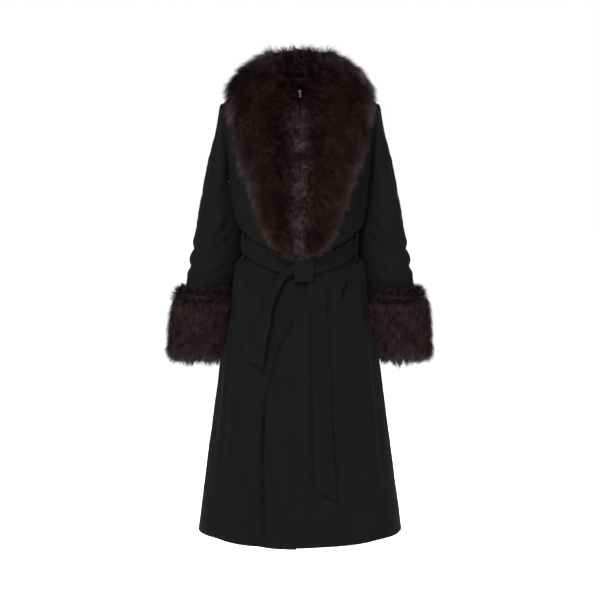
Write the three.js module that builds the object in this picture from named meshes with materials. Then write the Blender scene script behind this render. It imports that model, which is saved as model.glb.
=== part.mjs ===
// A long belted wool coat with a wide fur shawl collar and fur cuffs, in the form it has when worn.
// Millimetres, +Z up. The coat faces -Y, so the wearer's left is +X. The origin lies midway between
// the shoulders, at the height where the shoulder seams meet the neckline.
//
// The cloth is a thin wall on one body surface. A point of that surface has an angle round the body,
// 0 at the front centre and 180 at the back centre, and a run down the cloth: 0 on the neckline and
// the shoulder seam, 1 at the armpit and 2 at the hem. Whatever lies on the cloth is made from the
// same points, moved out.
import * as THREE from "three";

const { abs, cos, hypot, max, min, PI, sin } = Math;
const { clamp, degToRad, lerp, smoothstep } = THREE.MathUtils;
const { Vector3 } = THREE;

// Driving sizes.
const CLOTH = 2.2;
const SEAM_SHIFT = 0.2;
const SEAM_GAP = 0.5;
const ARMPIT_Z = -235;
const HEM_Z = -1094;
const NECK = { halfWidth: 72, angle: 27.7, front: { y: -78, z: -28 }, back: { y: 66, z: 16 } };
const SHOULDER_TIP = { x: 187, z: -44 };
const ARMHOLE_BULGE = { front: -48, back: 52 };
const ROWS_ABOVE_ARMPIT = 9;
const NECK_COLUMNS = { front: 8, back: 6 };
const SHOULDER_COLUMNS = 7;
const SIDE_SEAM = 90;
const BACK_START = 90.01;

// The cloth above the armpit: the shares of the neckline's angle between which it starts to roll over
// the shoulder, the angle from which it bows out at the armhole, how full that bow is, and how much
// the shoulder seam curves down.
const YOKE = { rollFrom: 0.3, rollTo: 0.95, bowFrom: 45, bow: 0.6, sag: 0.2 };

// Where the fronts lap: how far the upper one stands off the body, how far before and past its edge
// and past the edge beneath it that changes, and how far down it starts and is full.
const LAP = { off: 5.5, before: 45, past: 8, under: 62, starts: 95, full: 150 };

// How much lower the hem of the under front hangs, and from which angle and run.
const HEM_DROP = { most: 4.5, angle: -60, run: 1.8 };
// How small a step along the cloth and round it gives its direction, and the ends between which a
// place is looked for.
const STEP = { run: 0.004, angle: 0.5, ring: 0.1, round: 0.01 };
const ENDS = { front: -85, back: 0, side: 89.5, run: 1.99, edge: 60 };
const HALVINGS = 36;

// Horizontal sections of the body from the armpit to the hem: its height at the side, its half width,
// and its depths before and behind the side seam. dip is the share of the belt's sag that it takes.
const SECTIONS = [
  { level: -235, half: 172, front: 116, back: 106, dip: 0 },
  { level: -300, half: 165, front: 120, back: 103, dip: 0.35 },
  { level: -340, half: 154, front: 119, back: 99, dip: 0.75 },
  { level: -363, half: 140, front: 113, back: 93, dip: 1 },
  { level: -385, half: 138, front: 112, back: 92, dip: 1 },
  { level: -407, half: 140, front: 113, back: 93, dip: 1 },
  { level: -430, half: 154, front: 117, back: 103, dip: 0.92 },
  { level: -470, half: 163, front: 126, back: 114, dip: 0.72 },
  { level: -527, half: 166, front: 138, back: 124, dip: 0.45 },
  { level: -570, half: 170, front: 146, back: 131, dip: 0.28 },
  { level: -626, half: 183, front: 154, back: 139, dip: 0.14 },
  { level: -675, half: 195, front: 160, back: 145, dip: 0.06 },
  { level: -750, half: 205, front: 168, back: 152, dip: 0 },
  { level: -830, half: 216, front: 176, back: 161, dip: 0 },
  { level: -910, half: 228, front: 184, back: 169, dip: 0 },
  { level: -1000, half: 240, front: 191, back: 177, dip: 0 },
  { level: -1094, half: 252, front: 197, back: 185, dip: 0 },
];

// The largest soft folds: where round the body, how wide in degrees, how far out or in, the levels
// between which they run, and how far they lean on the way down, in degrees for each metre.
const FOLDS = [
  { angle: 37, width: 7, depth: 7, top: -405, bottom: -720, lean: -60 },
  { angle: 22, width: 6, depth: -5, top: -440, bottom: -980, lean: 0 },
  { angle: 62, width: 6, depth: 5, top: -405, bottom: -600, lean: -40 },
  { angle: -60, width: 6, depth: 5, top: -405, bottom: -600, lean: 40 },
  { angle: -42, width: 7, depth: 5, top: -405, bottom: -690, lean: 45 },
  { angle: -27, width: 5, depth: -7, top: -560, bottom: -1300, lean: 6 },
  { angle: 50, width: 11, depth: -6, top: -820, bottom: -1300, lean: 0 },
  { angle: -56, width: 11, depth: -6, top: -800, bottom: -1300, lean: 0 },
  { angle: 115, width: 8, depth: 6, top: -405, bottom: -1300, lean: 6 },
  { angle: 148, width: 8, depth: 7, top: -405, bottom: -1300, lean: 4 },
  { angle: 168, width: 6, depth: -5, top: -405, bottom: -1300, lean: 2 },
  { angle: -112, width: 8, depth: 7, top: -405, bottom: -1300, lean: -5 },
  { angle: -140, width: 8, depth: 6, top: -405, bottom: -1300, lean: -6 },
  { angle: -166, width: 7, depth: 6, top: -405, bottom: -1300, lean: 0 },
  { angle: 62, width: 7, depth: -6, top: -190, bottom: -350, lean: -60 },
  { angle: -62, width: 7, depth: -6, top: -190, bottom: -350, lean: 60 },
];
const FOLD_FADE = 70;

// Where the two front edges run: upper is the edge of the wearer's left front, which lies on top,
// and under is the edge of the wearer's right front beneath it.
const FRONT_EDGES = [
  { z: 0, upper: 0.5, under: -0.5 },
  { z: -110, upper: 0.5, under: -0.5 },
  { z: -200, upper: 0.5, under: 12 },
  { z: -300, upper: 2, under: 40 },
  { z: -400, upper: 8, under: 62 },
  { z: -450, upper: 14, under: 76 },
  { z: -505, upper: 11, under: 76 },
  { z: -535, upper: 0, under: 66 },
  { z: -570, upper: -15, under: 52 },
  { z: -617, upper: -38, under: 30 },
  { z: -664, upper: -56, under: 12 },
  { z: -711, upper: -67, under: 1 },
  { z: -770, upper: -76, under: -7 },
  { z: -840, upper: -80, under: -10 },
  { z: -934, upper: -80, under: -11 },
  { z: -1029, upper: -78, under: -10 },
  { z: -1100, upper: -74, under: -9 },
];

// The levels of the cloth's rows below the armpit.
const LEVELS = [
  -270, -305, -335, -363, -385, -407, -425, -450, -485, -525, -570, -620, -675, -735, -800, -870,
  -945, -1020, -1094,
];

// Rings along a sleeve: its inner and outer points seen from the front, its middle and half depth
// from front to back, and how far its inner side lies behind its outer side.
const SLEEVE_RINGS = [
  { run: 1, innerX: 179, innerZ: -226, outerX: 197, outerZ: -59, middle: 0.5, deep: 52, back: 0 },
  { run: 2, innerX: 180, innerZ: -238, outerX: 202, outerZ: -92, middle: 1, deep: 56, back: 0 },
  { run: 3, innerX: 176, innerZ: -249, outerX: 210, outerZ: -137, middle: 3, deep: 60, back: 10 },
  { run: 4, innerX: 171, innerZ: -264, outerX: 223, outerZ: -196, middle: 6, deep: 63, back: 24 },
  { run: 5, innerX: 166, innerZ: -300, outerX: 238, outerZ: -270, middle: 8, deep: 65, back: 32 },
  { run: 6, innerX: 156, innerZ: -346, outerX: 252, outerZ: -341, middle: 12, deep: 65, back: 36 },
  { run: 7, innerX: 147, innerZ: -383, outerX: 259, outerZ: -380, middle: 14, deep: 64, back: 38 },
  { run: 8, innerX: 147, innerZ: -417, outerX: 266, outerZ: -418, middle: 17, deep: 63, back: 38 },
  { run: 9, innerX: 157, innerZ: -452, outerX: 273, outerZ: -455, middle: 21, deep: 62, back: 38 },
  { run: 10, innerX: 169, innerZ: -490, outerX: 279, outerZ: -491, middle: 27, deep: 61, back: 36 },
  { run: 11, innerX: 178, innerZ: -545, outerX: 285, outerZ: -548, middle: 36, deep: 59, back: 32 },
  { run: 12, innerX: 190, innerZ: -605, outerX: 291, outerZ: -610, middle: 43, deep: 58, back: 24 },
  { run: 13, innerX: 200, innerZ: -655, outerX: 295, outerZ: -658, middle: 48, deep: 58, back: 18 },
  { run: 14, innerX: 203, innerZ: -674, outerX: 296, outerZ: -669, middle: 50, deep: 58, back: 16 },
];
const SLEEVE_END = 13;

// The fur cuff: the stretch of sleeve that it covers, and how far its fur stands out on each side.
const CUFF = {
  from: 10.05,
  to: 13.9,
  gap: 0.9,
  outer: 44,
  inner: 6,
  front: 33,
  back: 33,
  corner: 0.42,
  flat: 4,
  steps: 8,
};
const SLEEVE_SHAPED = 4;

// Stations of the collar from the back centre over the shoulder to its lower end. A station starts at
// neck, an angle on the neckline, or at centreZ, a height on the front centre line. outX and outZ are
// its outer edge. thick is how far the fur stands off the cloth, and lift how far the stand carries
// it up round the neck.
const COLLAR_BACK = [
  { neck: 180, outX: 0.5, outZ: -122, thick: 34, lift: 92 },
  { neck: 175.5, outX: 36, outZ: -121, thick: 34, lift: 91 },
  { neck: 171, outX: 72, outZ: -117, thick: 36, lift: 87 },
  { neck: 166, outX: 108, outZ: -107, thick: 39, lift: 80 },
  { neck: 161, outX: 138, outZ: -90, thick: 42, lift: 70 },
  { neck: 157, outX: 159, outZ: -68, thick: 44, lift: 60 },
  { neck: 154, outX: 167, outZ: -51, thick: 45, lift: 55 },
];
const COLLAR_SHOULDER = { outX: 171, thick: 46, lift: 50 };
const COLLAR_FRONT = [
  { neck: 25, outX: 169.5, outZ: -52, thick: 45, lift: 45 },
  { neck: 21, outX: 168, outZ: -70, thick: 44, lift: 38 },
  { neck: 15, outX: 164, outZ: -98, thick: 41, lift: 30 },
  { neck: 7.5, outX: 157, outZ: -130, thick: 38, lift: 22 },
  { neck: 0, outX: 149, outZ: -160, thick: 36, lift: 18, corner: true },
  { centreZ: -62, outX: 140, outZ: -189, thick: 34, lift: 2 },
  { centreZ: -105, outX: 128, outZ: -220, thick: 34, lift: 0 },
  { centreZ: -150, outX: 115, outZ: -253, thick: 34, lift: 0 },
  { centreZ: -195, outX: 104, outZ: -288, thick: 33, lift: 0 },
  { centreZ: -240, outX: 92, outZ: -318, thick: 32, lift: 0 },
  { centreZ: -285, outX: 79, outZ: -346, thick: 31, lift: 0 },
  { centreZ: -328, outX: 65, outZ: -372, thick: 29, lift: 0 },
  { centreZ: -366, outX: 47, outZ: -393, thick: 26, lift: 0 },
  { centreZ: -394, outX: 24, outZ: -405, thick: 19, lift: 0 },
];
const COLLAR = {
  gap: 3,
  corner: 0.55,
  standFall: 2.2,
  standEnd: 0.6,
  fullStand: 50,
  lean: 24,
  meet: 8,
  axisY: -6,
  underSteps: 8,
  archSteps: 12,
  halfGap: 0.4,
  evenings: 4,
};

// The belt: a band that lies in the waist, a short strap over it as the knot, and two tails.
const BELT = { level: -385, dip: 47, half: 22, thick: 4, gap: 1.3, steps: 44 };
const KNOT = {
  left: -11.5,
  right: 28.5,
  top: -410,
  bottom: -475,
  hollow: 5.6,
  wall: 2.4,
  behind: 0.8,
  square: 0.5,
  columns: 4,
  points: 20,
};
const TAIL = { thick: 3.6, columns: 3 };
const TAIL_SHORT = [
  { leftX: -8, leftZ: -434, rightX: -8, rightZ: -450, left: 13.1, right: 13.1 },
  { leftX: -18, leftZ: -434, rightX: -16, rightZ: -451, left: 13, right: 13 },
  { leftX: -38, leftZ: -444, rightX: -33, rightZ: -466, left: 10, right: 11 },
  { leftX: -54, leftZ: -468, rightX: -46, rightZ: -490, left: 8, right: 11 },
  { leftX: -69, leftZ: -497, rightX: -57, rightZ: -517, left: 7, right: 12 },
  { leftX: -89, leftZ: -539, rightX: -64, rightZ: -557, left: 8, right: 12 },
  { leftX: -103, leftZ: -590, rightX: -71, rightZ: -605, left: 8, right: 11 },
  { leftX: -112, leftZ: -632, rightX: -77, rightZ: -642, left: 8, right: 10 },
  { leftX: -118, leftZ: -657, rightX: -82, rightZ: -676, left: 8, right: 10 },
];
const TAIL_LONG = [
  { leftX: 13, leftZ: -460, rightX: 31, rightZ: -460, left: 5.3, right: 5.3 },
  { leftX: 20, leftZ: -482, rightX: 52, rightZ: -484, left: 6, right: 7 },
  { leftX: 24, leftZ: -520, rightX: 60, rightZ: -522, left: 8, right: 9 },
  { leftX: 27, leftZ: -605, rightX: 63, rightZ: -608, left: 9, right: 9 },
  { leftX: 29, leftZ: -690, rightX: 67, rightZ: -694, left: 9, right: 9 },
  { leftX: 31, leftZ: -775, rightX: 70, rightZ: -781, left: 9, right: 9 },
  { leftX: 33, leftZ: -864, rightX: 76, rightZ: -874, left: 9, right: 9 },
  { leftX: 36, leftZ: -955, rightX: 83, rightZ: -979, left: 9, right: 9 },
];
const LOOP = { angle: 68, half: 5.5, thick: 1.8 };
const LOOP_ROWS = [
  { rise: 34, off: 2.4 },
  { rise: 28, off: 5.6 },
  { rise: 24, off: 8.4 },
  { rise: 12, off: 8.4 },
  { rise: 0, off: 8.4 },
  { rise: -12, off: 8.4 },
  { rise: -24, off: 8.4 },
  { rise: -28, off: 5.6 },
  { rise: -34, off: 2.4 },
];

// The hook and eye that hold the collar at the neck: two small rings of bent wire.
const FASTENER = {
  ring: 3.1,
  wire: 0.9,
  hookZ: -25,
  eyeZ: -34,
  sides: 8,
  segments: 14,
  sunk: 0.75,
  from: -300,
};

// Reads a column of a table at a place along its key column, on a smooth curve through the rows.
function read(table, key, place, column) {
  const last = table.length - 1;
  const rising = table[last][key] > table[0][key];
  let i = 0;
  while (i < last - 1 && (rising ? place > table[i + 1][key] : place < table[i + 1][key])) i += 1;
  const slope = (j) => {
    const before = table[max(j - 1, 0)];
    const after = table[min(j + 1, last)];
    return (after[column] - before[column]) / (after[key] - before[key]);
  };
  const span = table[i + 1][key] - table[i][key];
  const t = clamp((place - table[i][key]) / span, 0, 1);
  return (
    table[i][column] * (1 + 2 * t) * (1 - t) ** 2 +
    slope(i) * span * t * (1 - t) ** 2 +
    table[i + 1][column] * t * t * (3 - 2 * t) +
    slope(i + 1) * span * t * t * (t - 1)
  );
}

// The argument between low and high at which a rising function reaches a value.
function solve(rising, value, low, high) {
  for (let i = 0; i < HALVINGS; i += 1) {
    const middle = (low + high) / 2;
    if (rising(middle) < value) low = middle;
    else high = middle;
  }
  return (low + high) / 2;
}

// The body surface.

// An angle round the body, brought between -180 and 180.
const turned = (angle) => (angle > 180 ? angle - 360 : angle);

// How far the folds push the cloth out at an angle and a level.
function foldDepth(angle, level) {
  return FOLDS.reduce((sum, fold) => {
    const away = turned(angle) - fold.angle - (fold.lean * (fold.top - level)) / 1000;
    const shown =
      smoothstep(fold.top - level, 0, FOLD_FADE) * smoothstep(level - fold.bottom, 0, FOLD_FADE);
    return sum + fold.depth * shown * Math.exp(-((away / fold.width) ** 2));
  }, 0);
}

// A point of a section at or below the armpit.
function ringPoint(angle, level) {
  const facing = cos(degToRad(angle));
  const depth = read(SECTIONS, "level", level, facing > 0 ? "front" : "back");
  const half = read(SECTIONS, "level", level, "half");
  const dip = BELT.dip * max(facing, 0) ** 2 * read(SECTIONS, "level", level, "dip");
  const out = foldDepth(angle, level);
  return new Vector3((half + out) * sin(degToRad(angle)), -(depth + out) * facing, level - dip);
}

// A point of the neckline or of the shoulder seam.
function topPoint(angle) {
  const turn = min(abs(turned(angle)), 180 - abs(turned(angle)));
  const way = Math.sign(turned(angle)) || 1;
  const neck = abs(turned(angle)) <= SIDE_SEAM ? NECK.front : NECK.back;
  if (turn <= NECK.angle) {
    const a = (PI / 2) * (turn / NECK.angle);
    return new Vector3(way * NECK.halfWidth * sin(a), neck.y * cos(a), neck.z * cos(a) ** 2);
  }
  const t = (turn - NECK.angle) / (SIDE_SEAM - NECK.angle);
  const x = lerp(NECK.halfWidth, SHOULDER_TIP.x, t);
  return new Vector3(way * x, 0, SHOULDER_TIP.z * lerp(t, t * t, YOKE.sag));
}

// A point above the armpit, where the cloth rolls over the shoulder and bows out at the armhole.
function yokePoint(angle, run) {
  const turn = min(abs(turned(angle)), 180 - abs(turned(angle)));
  const top = topPoint(angle);
  const ring = ringPoint(angle, ARMPIT_Z);
  const rolled = smoothstep(turn, YOKE.rollFrom * NECK.angle, YOKE.rollTo * NECK.angle);
  const out = lerp(run, sin((run * PI) / 2), rolled);
  const down = lerp(run, 1 - cos((run * PI) / 2), rolled);
  const bulge = abs(turned(angle)) <= SIDE_SEAM ? ARMHOLE_BULGE.front : ARMHOLE_BULGE.back;
  const bow = bulge * smoothstep(turn, YOKE.bowFrom, SIDE_SEAM) * max(sin(PI * run), 0) ** YOKE.bow;
  return new Vector3(lerp(top.x, ring.x, out), lerp(top.y, ring.y, out) + bow, lerp(top.z, ring.z, down));
}

const runOfLevel = (level) => 1 + (ARMPIT_Z - level) / (ARMPIT_Z - HEM_Z);
const levelOfRun = (run) => lerp(ARMPIT_Z, HEM_Z, run - 1);

function bodyPoint(angle, run) {
  return run < 1 ? yokePoint(angle, run) : ringPoint(angle, levelOfRun(run));
}

// The direction straight out of the cloth. It is taken on one side only at the armhole.
function bodyNormal(angle, run) {
  const edges = angle <= SIDE_SEAM ? [-SIDE_SEAM, SIDE_SEAM] : [BACK_START, 360 - BACK_START];
  const down = bodyPoint(angle, run + STEP.run).sub(bodyPoint(angle, max(run - STEP.run, 0)));
  const far = bodyPoint(clamp(angle + STEP.angle, ...edges), run);
  const near = bodyPoint(clamp(angle - STEP.angle, ...edges), run);
  return down.cross(far.sub(near)).normalize();
}

const offBody = (angle, run, off) =>
  bodyPoint(angle, run).addScaledVector(bodyNormal(angle, run), off);

// How far the upper front stands off the body surface, so that it clears the front beneath it.
function lapAt(x, z) {
  const under = read(FRONT_EDGES, "z", z, "under");
  const upper = read(FRONT_EDGES, "z", z, "upper");
  const rising = smoothstep(x, upper - LAP.before, upper - LAP.past);
  const falling = smoothstep(x, under + LAP.past, under + LAP.under);
  return LAP.off * rising * (1 - falling) * smoothstep(-z, LAP.starts, LAP.full);
}

// The angle and run of the point with this x and z, on the front or on the back.
function placeOn(front, x, z) {
  const turn = (a) => (front ? a : 180 - a);
  const low = front ? ENDS.front : ENDS.back;
  const angleAt = (run) => turn(solve((a) => bodyPoint(turn(a), run).x, x, low, ENDS.side));
  const run = solve((r) => -bodyPoint(angleAt(r), r).z, -z, 0, ENDS.run);
  return { angle: angleAt(run), run };
}

// A point at an x and z seen from the front, off the front panels by a distance.
function offFront(x, z, off) {
  const place = placeOn(true, x, z);
  return offBody(place.angle, place.run, off + lapAt(x, z));
}

// Solids from points.

// One closed geometry from points and the triangles between them, with its faces pointing out.
function solidGeometry(points, triangles) {
  const volume = triangles.reduce(
    (sum, [a, b, c]) => sum + points[a].dot(new Vector3().crossVectors(points[b], points[c])),
    0,
  );
  const faces = volume > 0 ? triangles : triangles.map(([a, b, c]) => [a, c, b]);
  const geometry = new THREE.BufferGeometry().setFromPoints(points);
  geometry.setIndex(faces.flat());
  geometry.computeVertexNormals();
  return geometry;
}

const quad = (a, b, c, d) => [
  [a, b, c],
  [a, c, d],
];

// The outward directions at the points of a grid. A closed grid's last column joins its first.
function gridNormals(grid, closed, sense) {
  const rows = grid.length;
  const columns = grid[0].length;
  return grid.map((row, i) =>
    row.map((_, j) => {
      const before = closed ? (j + columns - 1) % columns : max(j - 1, 0);
      const after = closed ? (j + 1) % columns : min(j + 1, columns - 1);
      const down = grid[min(i + 1, rows - 1)][j].clone().sub(grid[max(i - 1, 0)][j]);
      return down.cross(row[after].clone().sub(row[before])).multiplyScalar(sense).normalize();
    }),
  );
}

// A wall whose outer face is a grid of points, given its outward directions.
function wall(grid, normals, { closed = false, thick = CLOTH } = {}) {
  const rows = grid.length;
  const columns = grid[0].length;
  const inner = grid.map((row, i) =>
    row.map((point, j) => point.clone().addScaledVector(normals[i][j], -thick)),
  );
  const under = rows * columns;
  const at = (i, j) => i * columns + (j % columns);
  const triangles = [];
  const rim = (a, b, flipped) => {
    const ring = [a, b, b + under, a + under];
    triangles.push(...quad(...(flipped ? ring.reverse() : ring)));
  };
  for (let j = 0; j < (closed ? columns : columns - 1); j += 1) {
    for (let i = 0; i < rows - 1; i += 1) {
      const face = [at(i, j), at(i + 1, j), at(i + 1, j + 1), at(i, j + 1)];
      triangles.push(...quad(...face));
      triangles.push(...quad(...face.map((k) => k + under).reverse()));
    }
    rim(at(0, j), at(0, j + 1), false);
    rim(at(rows - 1, j), at(rows - 1, j + 1), true);
  }
  for (let i = 0; i < rows - 1 && !closed; i += 1) {
    rim(at(i, 0), at(i + 1, 0), true);
    rim(at(i, columns - 1), at(i + 1, columns - 1), false);
  }
  return solidGeometry([...grid.flat(), ...inner.flat()], triangles);
}

// The triangles over an end loop, in the loop's own order or against it.
function endCap(loop, start, along) {
  const across = loop[Math.floor(loop.length / 2)].clone().sub(loop[0]).normalize();
  const other = loop[Math.floor(loop.length / 4)].clone().sub(loop[0]);
  const up = across.clone().cross(other).cross(across).normalize();
  const flat = loop.map((p) => new THREE.Vector2(p.dot(across), p.dot(up)));
  const faces = THREE.ShapeUtils.triangulateShape(flat, []);
  const follows = faces.some(([a, b, c]) =>
    [b - a, c - b, a - c].some((step) => step === 1 || step === 1 - loop.length),
  );
  return faces.map(([a, b, c]) =>
    follows === along ? [start + a, start + b, start + c] : [start + a, start + c, start + b],
  );
}

// A solid through loops of points that match one another. A closed one's last loop joins its first.
function loft(loops, closed = false) {
  const count = loops[0].length;
  const last = loops.length - 1;
  const triangles = [];
  for (let i = 0; i < (closed ? loops.length : last); i += 1) {
    const here = i * count;
    const next = ((i + 1) % loops.length) * count;
    for (let j = 0; j < count; j += 1) {
      const k = (j + 1) % count;
      triangles.push(...quad(here + j, next + j, next + k, here + k));
    }
  }
  if (!closed) {
    triangles.push(...endCap(loops[0], 0, true), ...endCap(loops[last], last * count, false));
  }
  return solidGeometry(loops.flat(), triangles);
}

const UP = new Vector3(0, 0, 1);
const steps = (count) => Array.from({ length: count + 1 }, (_, i) => i / count);
const mirrored = (grid) => grid.map((row) => row.map((p) => new Vector3(-p.x, p.y, p.z)));

// Materials.

const wool = () => new THREE.MeshStandardMaterial({ color: "#1c1c1e", roughness: 0.95 });
const fur = () => new THREE.MeshStandardMaterial({ color: "#1f1214", roughness: 1 });
const steel = () =>
  new THREE.MeshStandardMaterial({ color: "#b9b6b2", roughness: 0.35, metalness: 1 });

const coat = new THREE.Group();

function add(name, geometry, material) {
  const mesh = new THREE.Mesh(geometry, material);
  mesh.name = name;
  coat.add(mesh);
}

// Adds a piece of the wearer's left and its mirror image on the right.
function addPair(name, make, material) {
  add(`${name}_left`, make((grid) => grid), material());
  add(`${name}_right`, make(mirrored), material());
}

// The panels.

const RUNS = [...steps(ROWS_ABOVE_ARMPIT), ...LEVELS.map(runOfLevel)];

// A panel's wall. off says how far a point stands off the body, and drop how far it is lowered.
function panel(anglesAt, shift, { off = () => 0, drop = () => 0 } = {}) {
  const normals = [];
  const grid = RUNS.map((run) => {
    const angles = anglesAt(run);
    normals.push(angles.map((angle) => bodyNormal(angle, run)));
    return angles.map((angle, j) => {
      const point = bodyPoint(angle, run);
      point.addScaledVector(normals.at(-1)[j], off(point.x, point.z));
      point.y += shift;
      point.z -= drop(angle, run);
      return point;
    });
  });
  return wall(grid, normals);
}

// The column angles of a front panel from its edge to the side seam, on the wearer's left.
function frontAngles(edge) {
  const chest = steps(NECK_COLUMNS.front).map((t) => lerp(edge, NECK.angle, t));
  const side = steps(SHOULDER_COLUMNS).map((t) => lerp(NECK.angle, SIDE_SEAM, t));
  return [...chest, ...side.slice(1)];
}

// The angle of a front edge at a run. The table gives its x by its height.
function edgeAngle(run, column) {
  const past = (angle) => {
    const point = bodyPoint(angle, run);
    return point.x - read(FRONT_EDGES, "z", point.z, column);
  };
  return solve(past, 0, -ENDS.edge, ENDS.edge);
}

function backAngles() {
  const neckTurn = 180 - NECK.angle;
  const left = steps(SHOULDER_COLUMNS).map((t) => lerp(BACK_START, neckTurn, t));
  const middle = steps(NECK_COLUMNS.back).map((t) => lerp(neckTurn, 360 - neckTurn, t));
  return [...left, ...middle.slice(1, -1), ...left.map((angle) => 360 - angle).reverse()];
}

add("back", panel(backAngles, SEAM_SHIFT), wool());
add(
  "front_left",
  panel((run) => frontAngles(edgeAngle(run, "upper")), -SEAM_SHIFT, { off: lapAt }),
  wool(),
);
add(
  "front_right",
  panel((run) => frontAngles(-edgeAngle(run, "under")).map((a) => -a).reverse(), -SEAM_SHIFT, {
    drop: (angle, run) =>
      HEM_DROP.most * smoothstep(angle, HEM_DROP.angle, 0) * smoothstep(run, HEM_DROP.run, 2),
  }),
  wool(),
);

// The sleeves and their fur cuffs.

// A point of a sleeve's oval ring. round is 0 at the outer point, a quarter in front, and so on.
function sleeveOval(run, round) {
  const at = (column) => read(SLEEVE_RINGS, "run", run, column);
  const across = (1 + cos(2 * PI * round)) / 2;
  const x = lerp(at("innerX"), at("outerX"), across);
  const z = lerp(at("innerZ"), at("outerZ"), across);
  const middle = at("middle") + at("back") * (0.5 - across);
  return new Vector3(x, middle - at("deep") * sin(2 * PI * round), z);
}

const sleeveCentre = (run) => sleeveOval(run, 0).lerp(sleeveOval(run, 0.5), 0.5);

// The armhole's edge: its point and its outward direction.
function armholeEdge(round) {
  const angle = round <= 0.5 ? SIDE_SEAM : BACK_START;
  const run = round <= 0.5 ? 2 * round : 2 - 2 * round;
  return { point: bodyPoint(angle, run), normal: bodyNormal(angle, run) };
}

const ARMHOLE_POINTS = 2 * ROWS_ABOVE_ARMPIT;
const ARMHOLE = steps(ARMHOLE_POINTS)
  .slice(0, -1)
  .map((round) => armholeEdge(round));
const ARMHOLE_CENTRE = ARMHOLE[0].point.clone().lerp(ARMHOLE[ROWS_ABOVE_ARMPIT].point, 0.5);

// The sleeve's first ring, a seam's width beyond the panels' edge and level with their faces.
function armholeRing() {
  return ARMHOLE.map(({ point, normal }, j) => {
    const next = ARMHOLE[(j + 1) % ARMHOLE_POINTS].point;
    const before = ARMHOLE[(j + ARMHOLE_POINTS - 1) % ARMHOLE_POINTS].point;
    const inward = next.clone().sub(before).cross(normal).normalize();
    if (inward.dot(ARMHOLE_CENTRE.clone().sub(point)) < 0) inward.negate();
    return point.clone().addScaledVector(inward, SEAM_GAP);
  });
}

// A point of the sleeve, which turns from the armhole's shape into an oval over its first rings.
function sleevePoint(run, round) {
  const oval = sleeveOval(run, round);
  const shaped = smoothstep(run, 0, SLEEVE_SHAPED);
  if (shaped === 1) return oval;
  const edge = ARMHOLE[Math.round(round * ARMHOLE_POINTS) % ARMHOLE_POINTS].point;
  const centre = sleeveCentre(run);
  const held = edge.clone().sub(ARMHOLE_CENTRE).add(centre);
  return held.lerp(oval, shaped);
}

function sleeveGrid() {
  const round = steps(ARMHOLE_POINTS).slice(0, -1);
  const rings = steps(SLEEVE_END - 1).map((t) => round.map((u) => sleevePoint(1 + t * (SLEEVE_END - 1), u)));
  return [armholeRing(), ...rings];
}

function sleeve(side) {
  const grid = sleeveGrid();
  const normals = gridNormals(grid, true, -1);
  normals[0] = ARMHOLE.map(({ normal }) => normal);
  return wall(side(grid), side(normals), { closed: true });
}

addPair("sleeve", sleeve, wool);

// How far a cuff's fur stands off the sleeve, round the sleeve and along the cuff.
function cuffFur(round, along) {
  const facing = cos(2 * PI * round);
  const sideways = facing > 0 ? CUFF.outer : CUFF.inner;
  const ahead = sin(2 * PI * round) > 0 ? CUFF.front : CUFF.back;
  const reach = hypot(sideways * facing, ahead * sin(2 * PI * round));
  const rounded = Math.sqrt(1 - abs(2 * along - 1) ** CUFF.flat);
  return reach * lerp(CUFF.corner, 1, rounded);
}

function cuff(side) {
  const loops = steps(ARMHOLE_POINTS)
    .slice(0, -1)
    .map((round) => {
      const out = (along) => {
        const run = lerp(CUFF.from, CUFF.to, along);
        const point = sleeveOval(run, round);
        const down = sleeveOval(run + STEP.ring, round).sub(sleeveOval(run - STEP.ring, round));
        const next = sleeveOval(run, round + STEP.round).sub(sleeveOval(run, round - STEP.round));
        return { point, normal: next.cross(down).normalize() };
      };
      const surface = (along, off) => out(along).point.addScaledVector(out(along).normal, off);
      const sleeveSide = steps(CUFF.steps).map((along) => surface(along, CUFF.gap));
      const furSide = steps(CUFF.steps)
        .reverse()
        .map((along) => surface(along, CUFF.gap + cuffFur(round, along)));
      return [...sleeveSide, ...furSide];
    });
  return loft(side(loops), true);
}

addPair("cuff", cuff, fur);

// The fur collar.

// A station with its start and end on the body surface.
function collarStation(front, station) {
  const start = station.centreZ
    ? placeOn(true, COLLAR.halfGap, station.centreZ)
    : { angle: station.neck, run: 0 };
  return { ...station, start, end: placeOn(front, station.outX, station.outZ) };
}

// The station along the shoulder seam, which the front and the back share.
function shoulderStation(front) {
  const along = (COLLAR_SHOULDER.outX - NECK.halfWidth) / (SHOULDER_TIP.x - NECK.halfWidth);
  const turns = [NECK.angle, lerp(NECK.angle, SIDE_SEAM, along)];
  const [start, end] = turns.map((turn) => ({ angle: front ? turn : 180 - turn, run: 0 }));
  return { ...COLLAR_SHOULDER, start, end };
}

// The stations with one more halfway between each two.
function doubled(stations) {
  const between = (a, b) => ({ angle: lerp(a.angle, b.angle, 0.5), run: lerp(a.run, b.run, 0.5) });
  return stations.flatMap((here, i) => {
    const next = stations[i + 1];
    if (!next) return [here];
    const middle = {
      thick: lerp(here.thick, next.thick, 0.5),
      lift: lerp(here.lift, next.lift, 0.5),
      start: between(here.start, next.start),
      end: between(here.end, next.end),
    };
    return [here, middle];
  });
}

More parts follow.
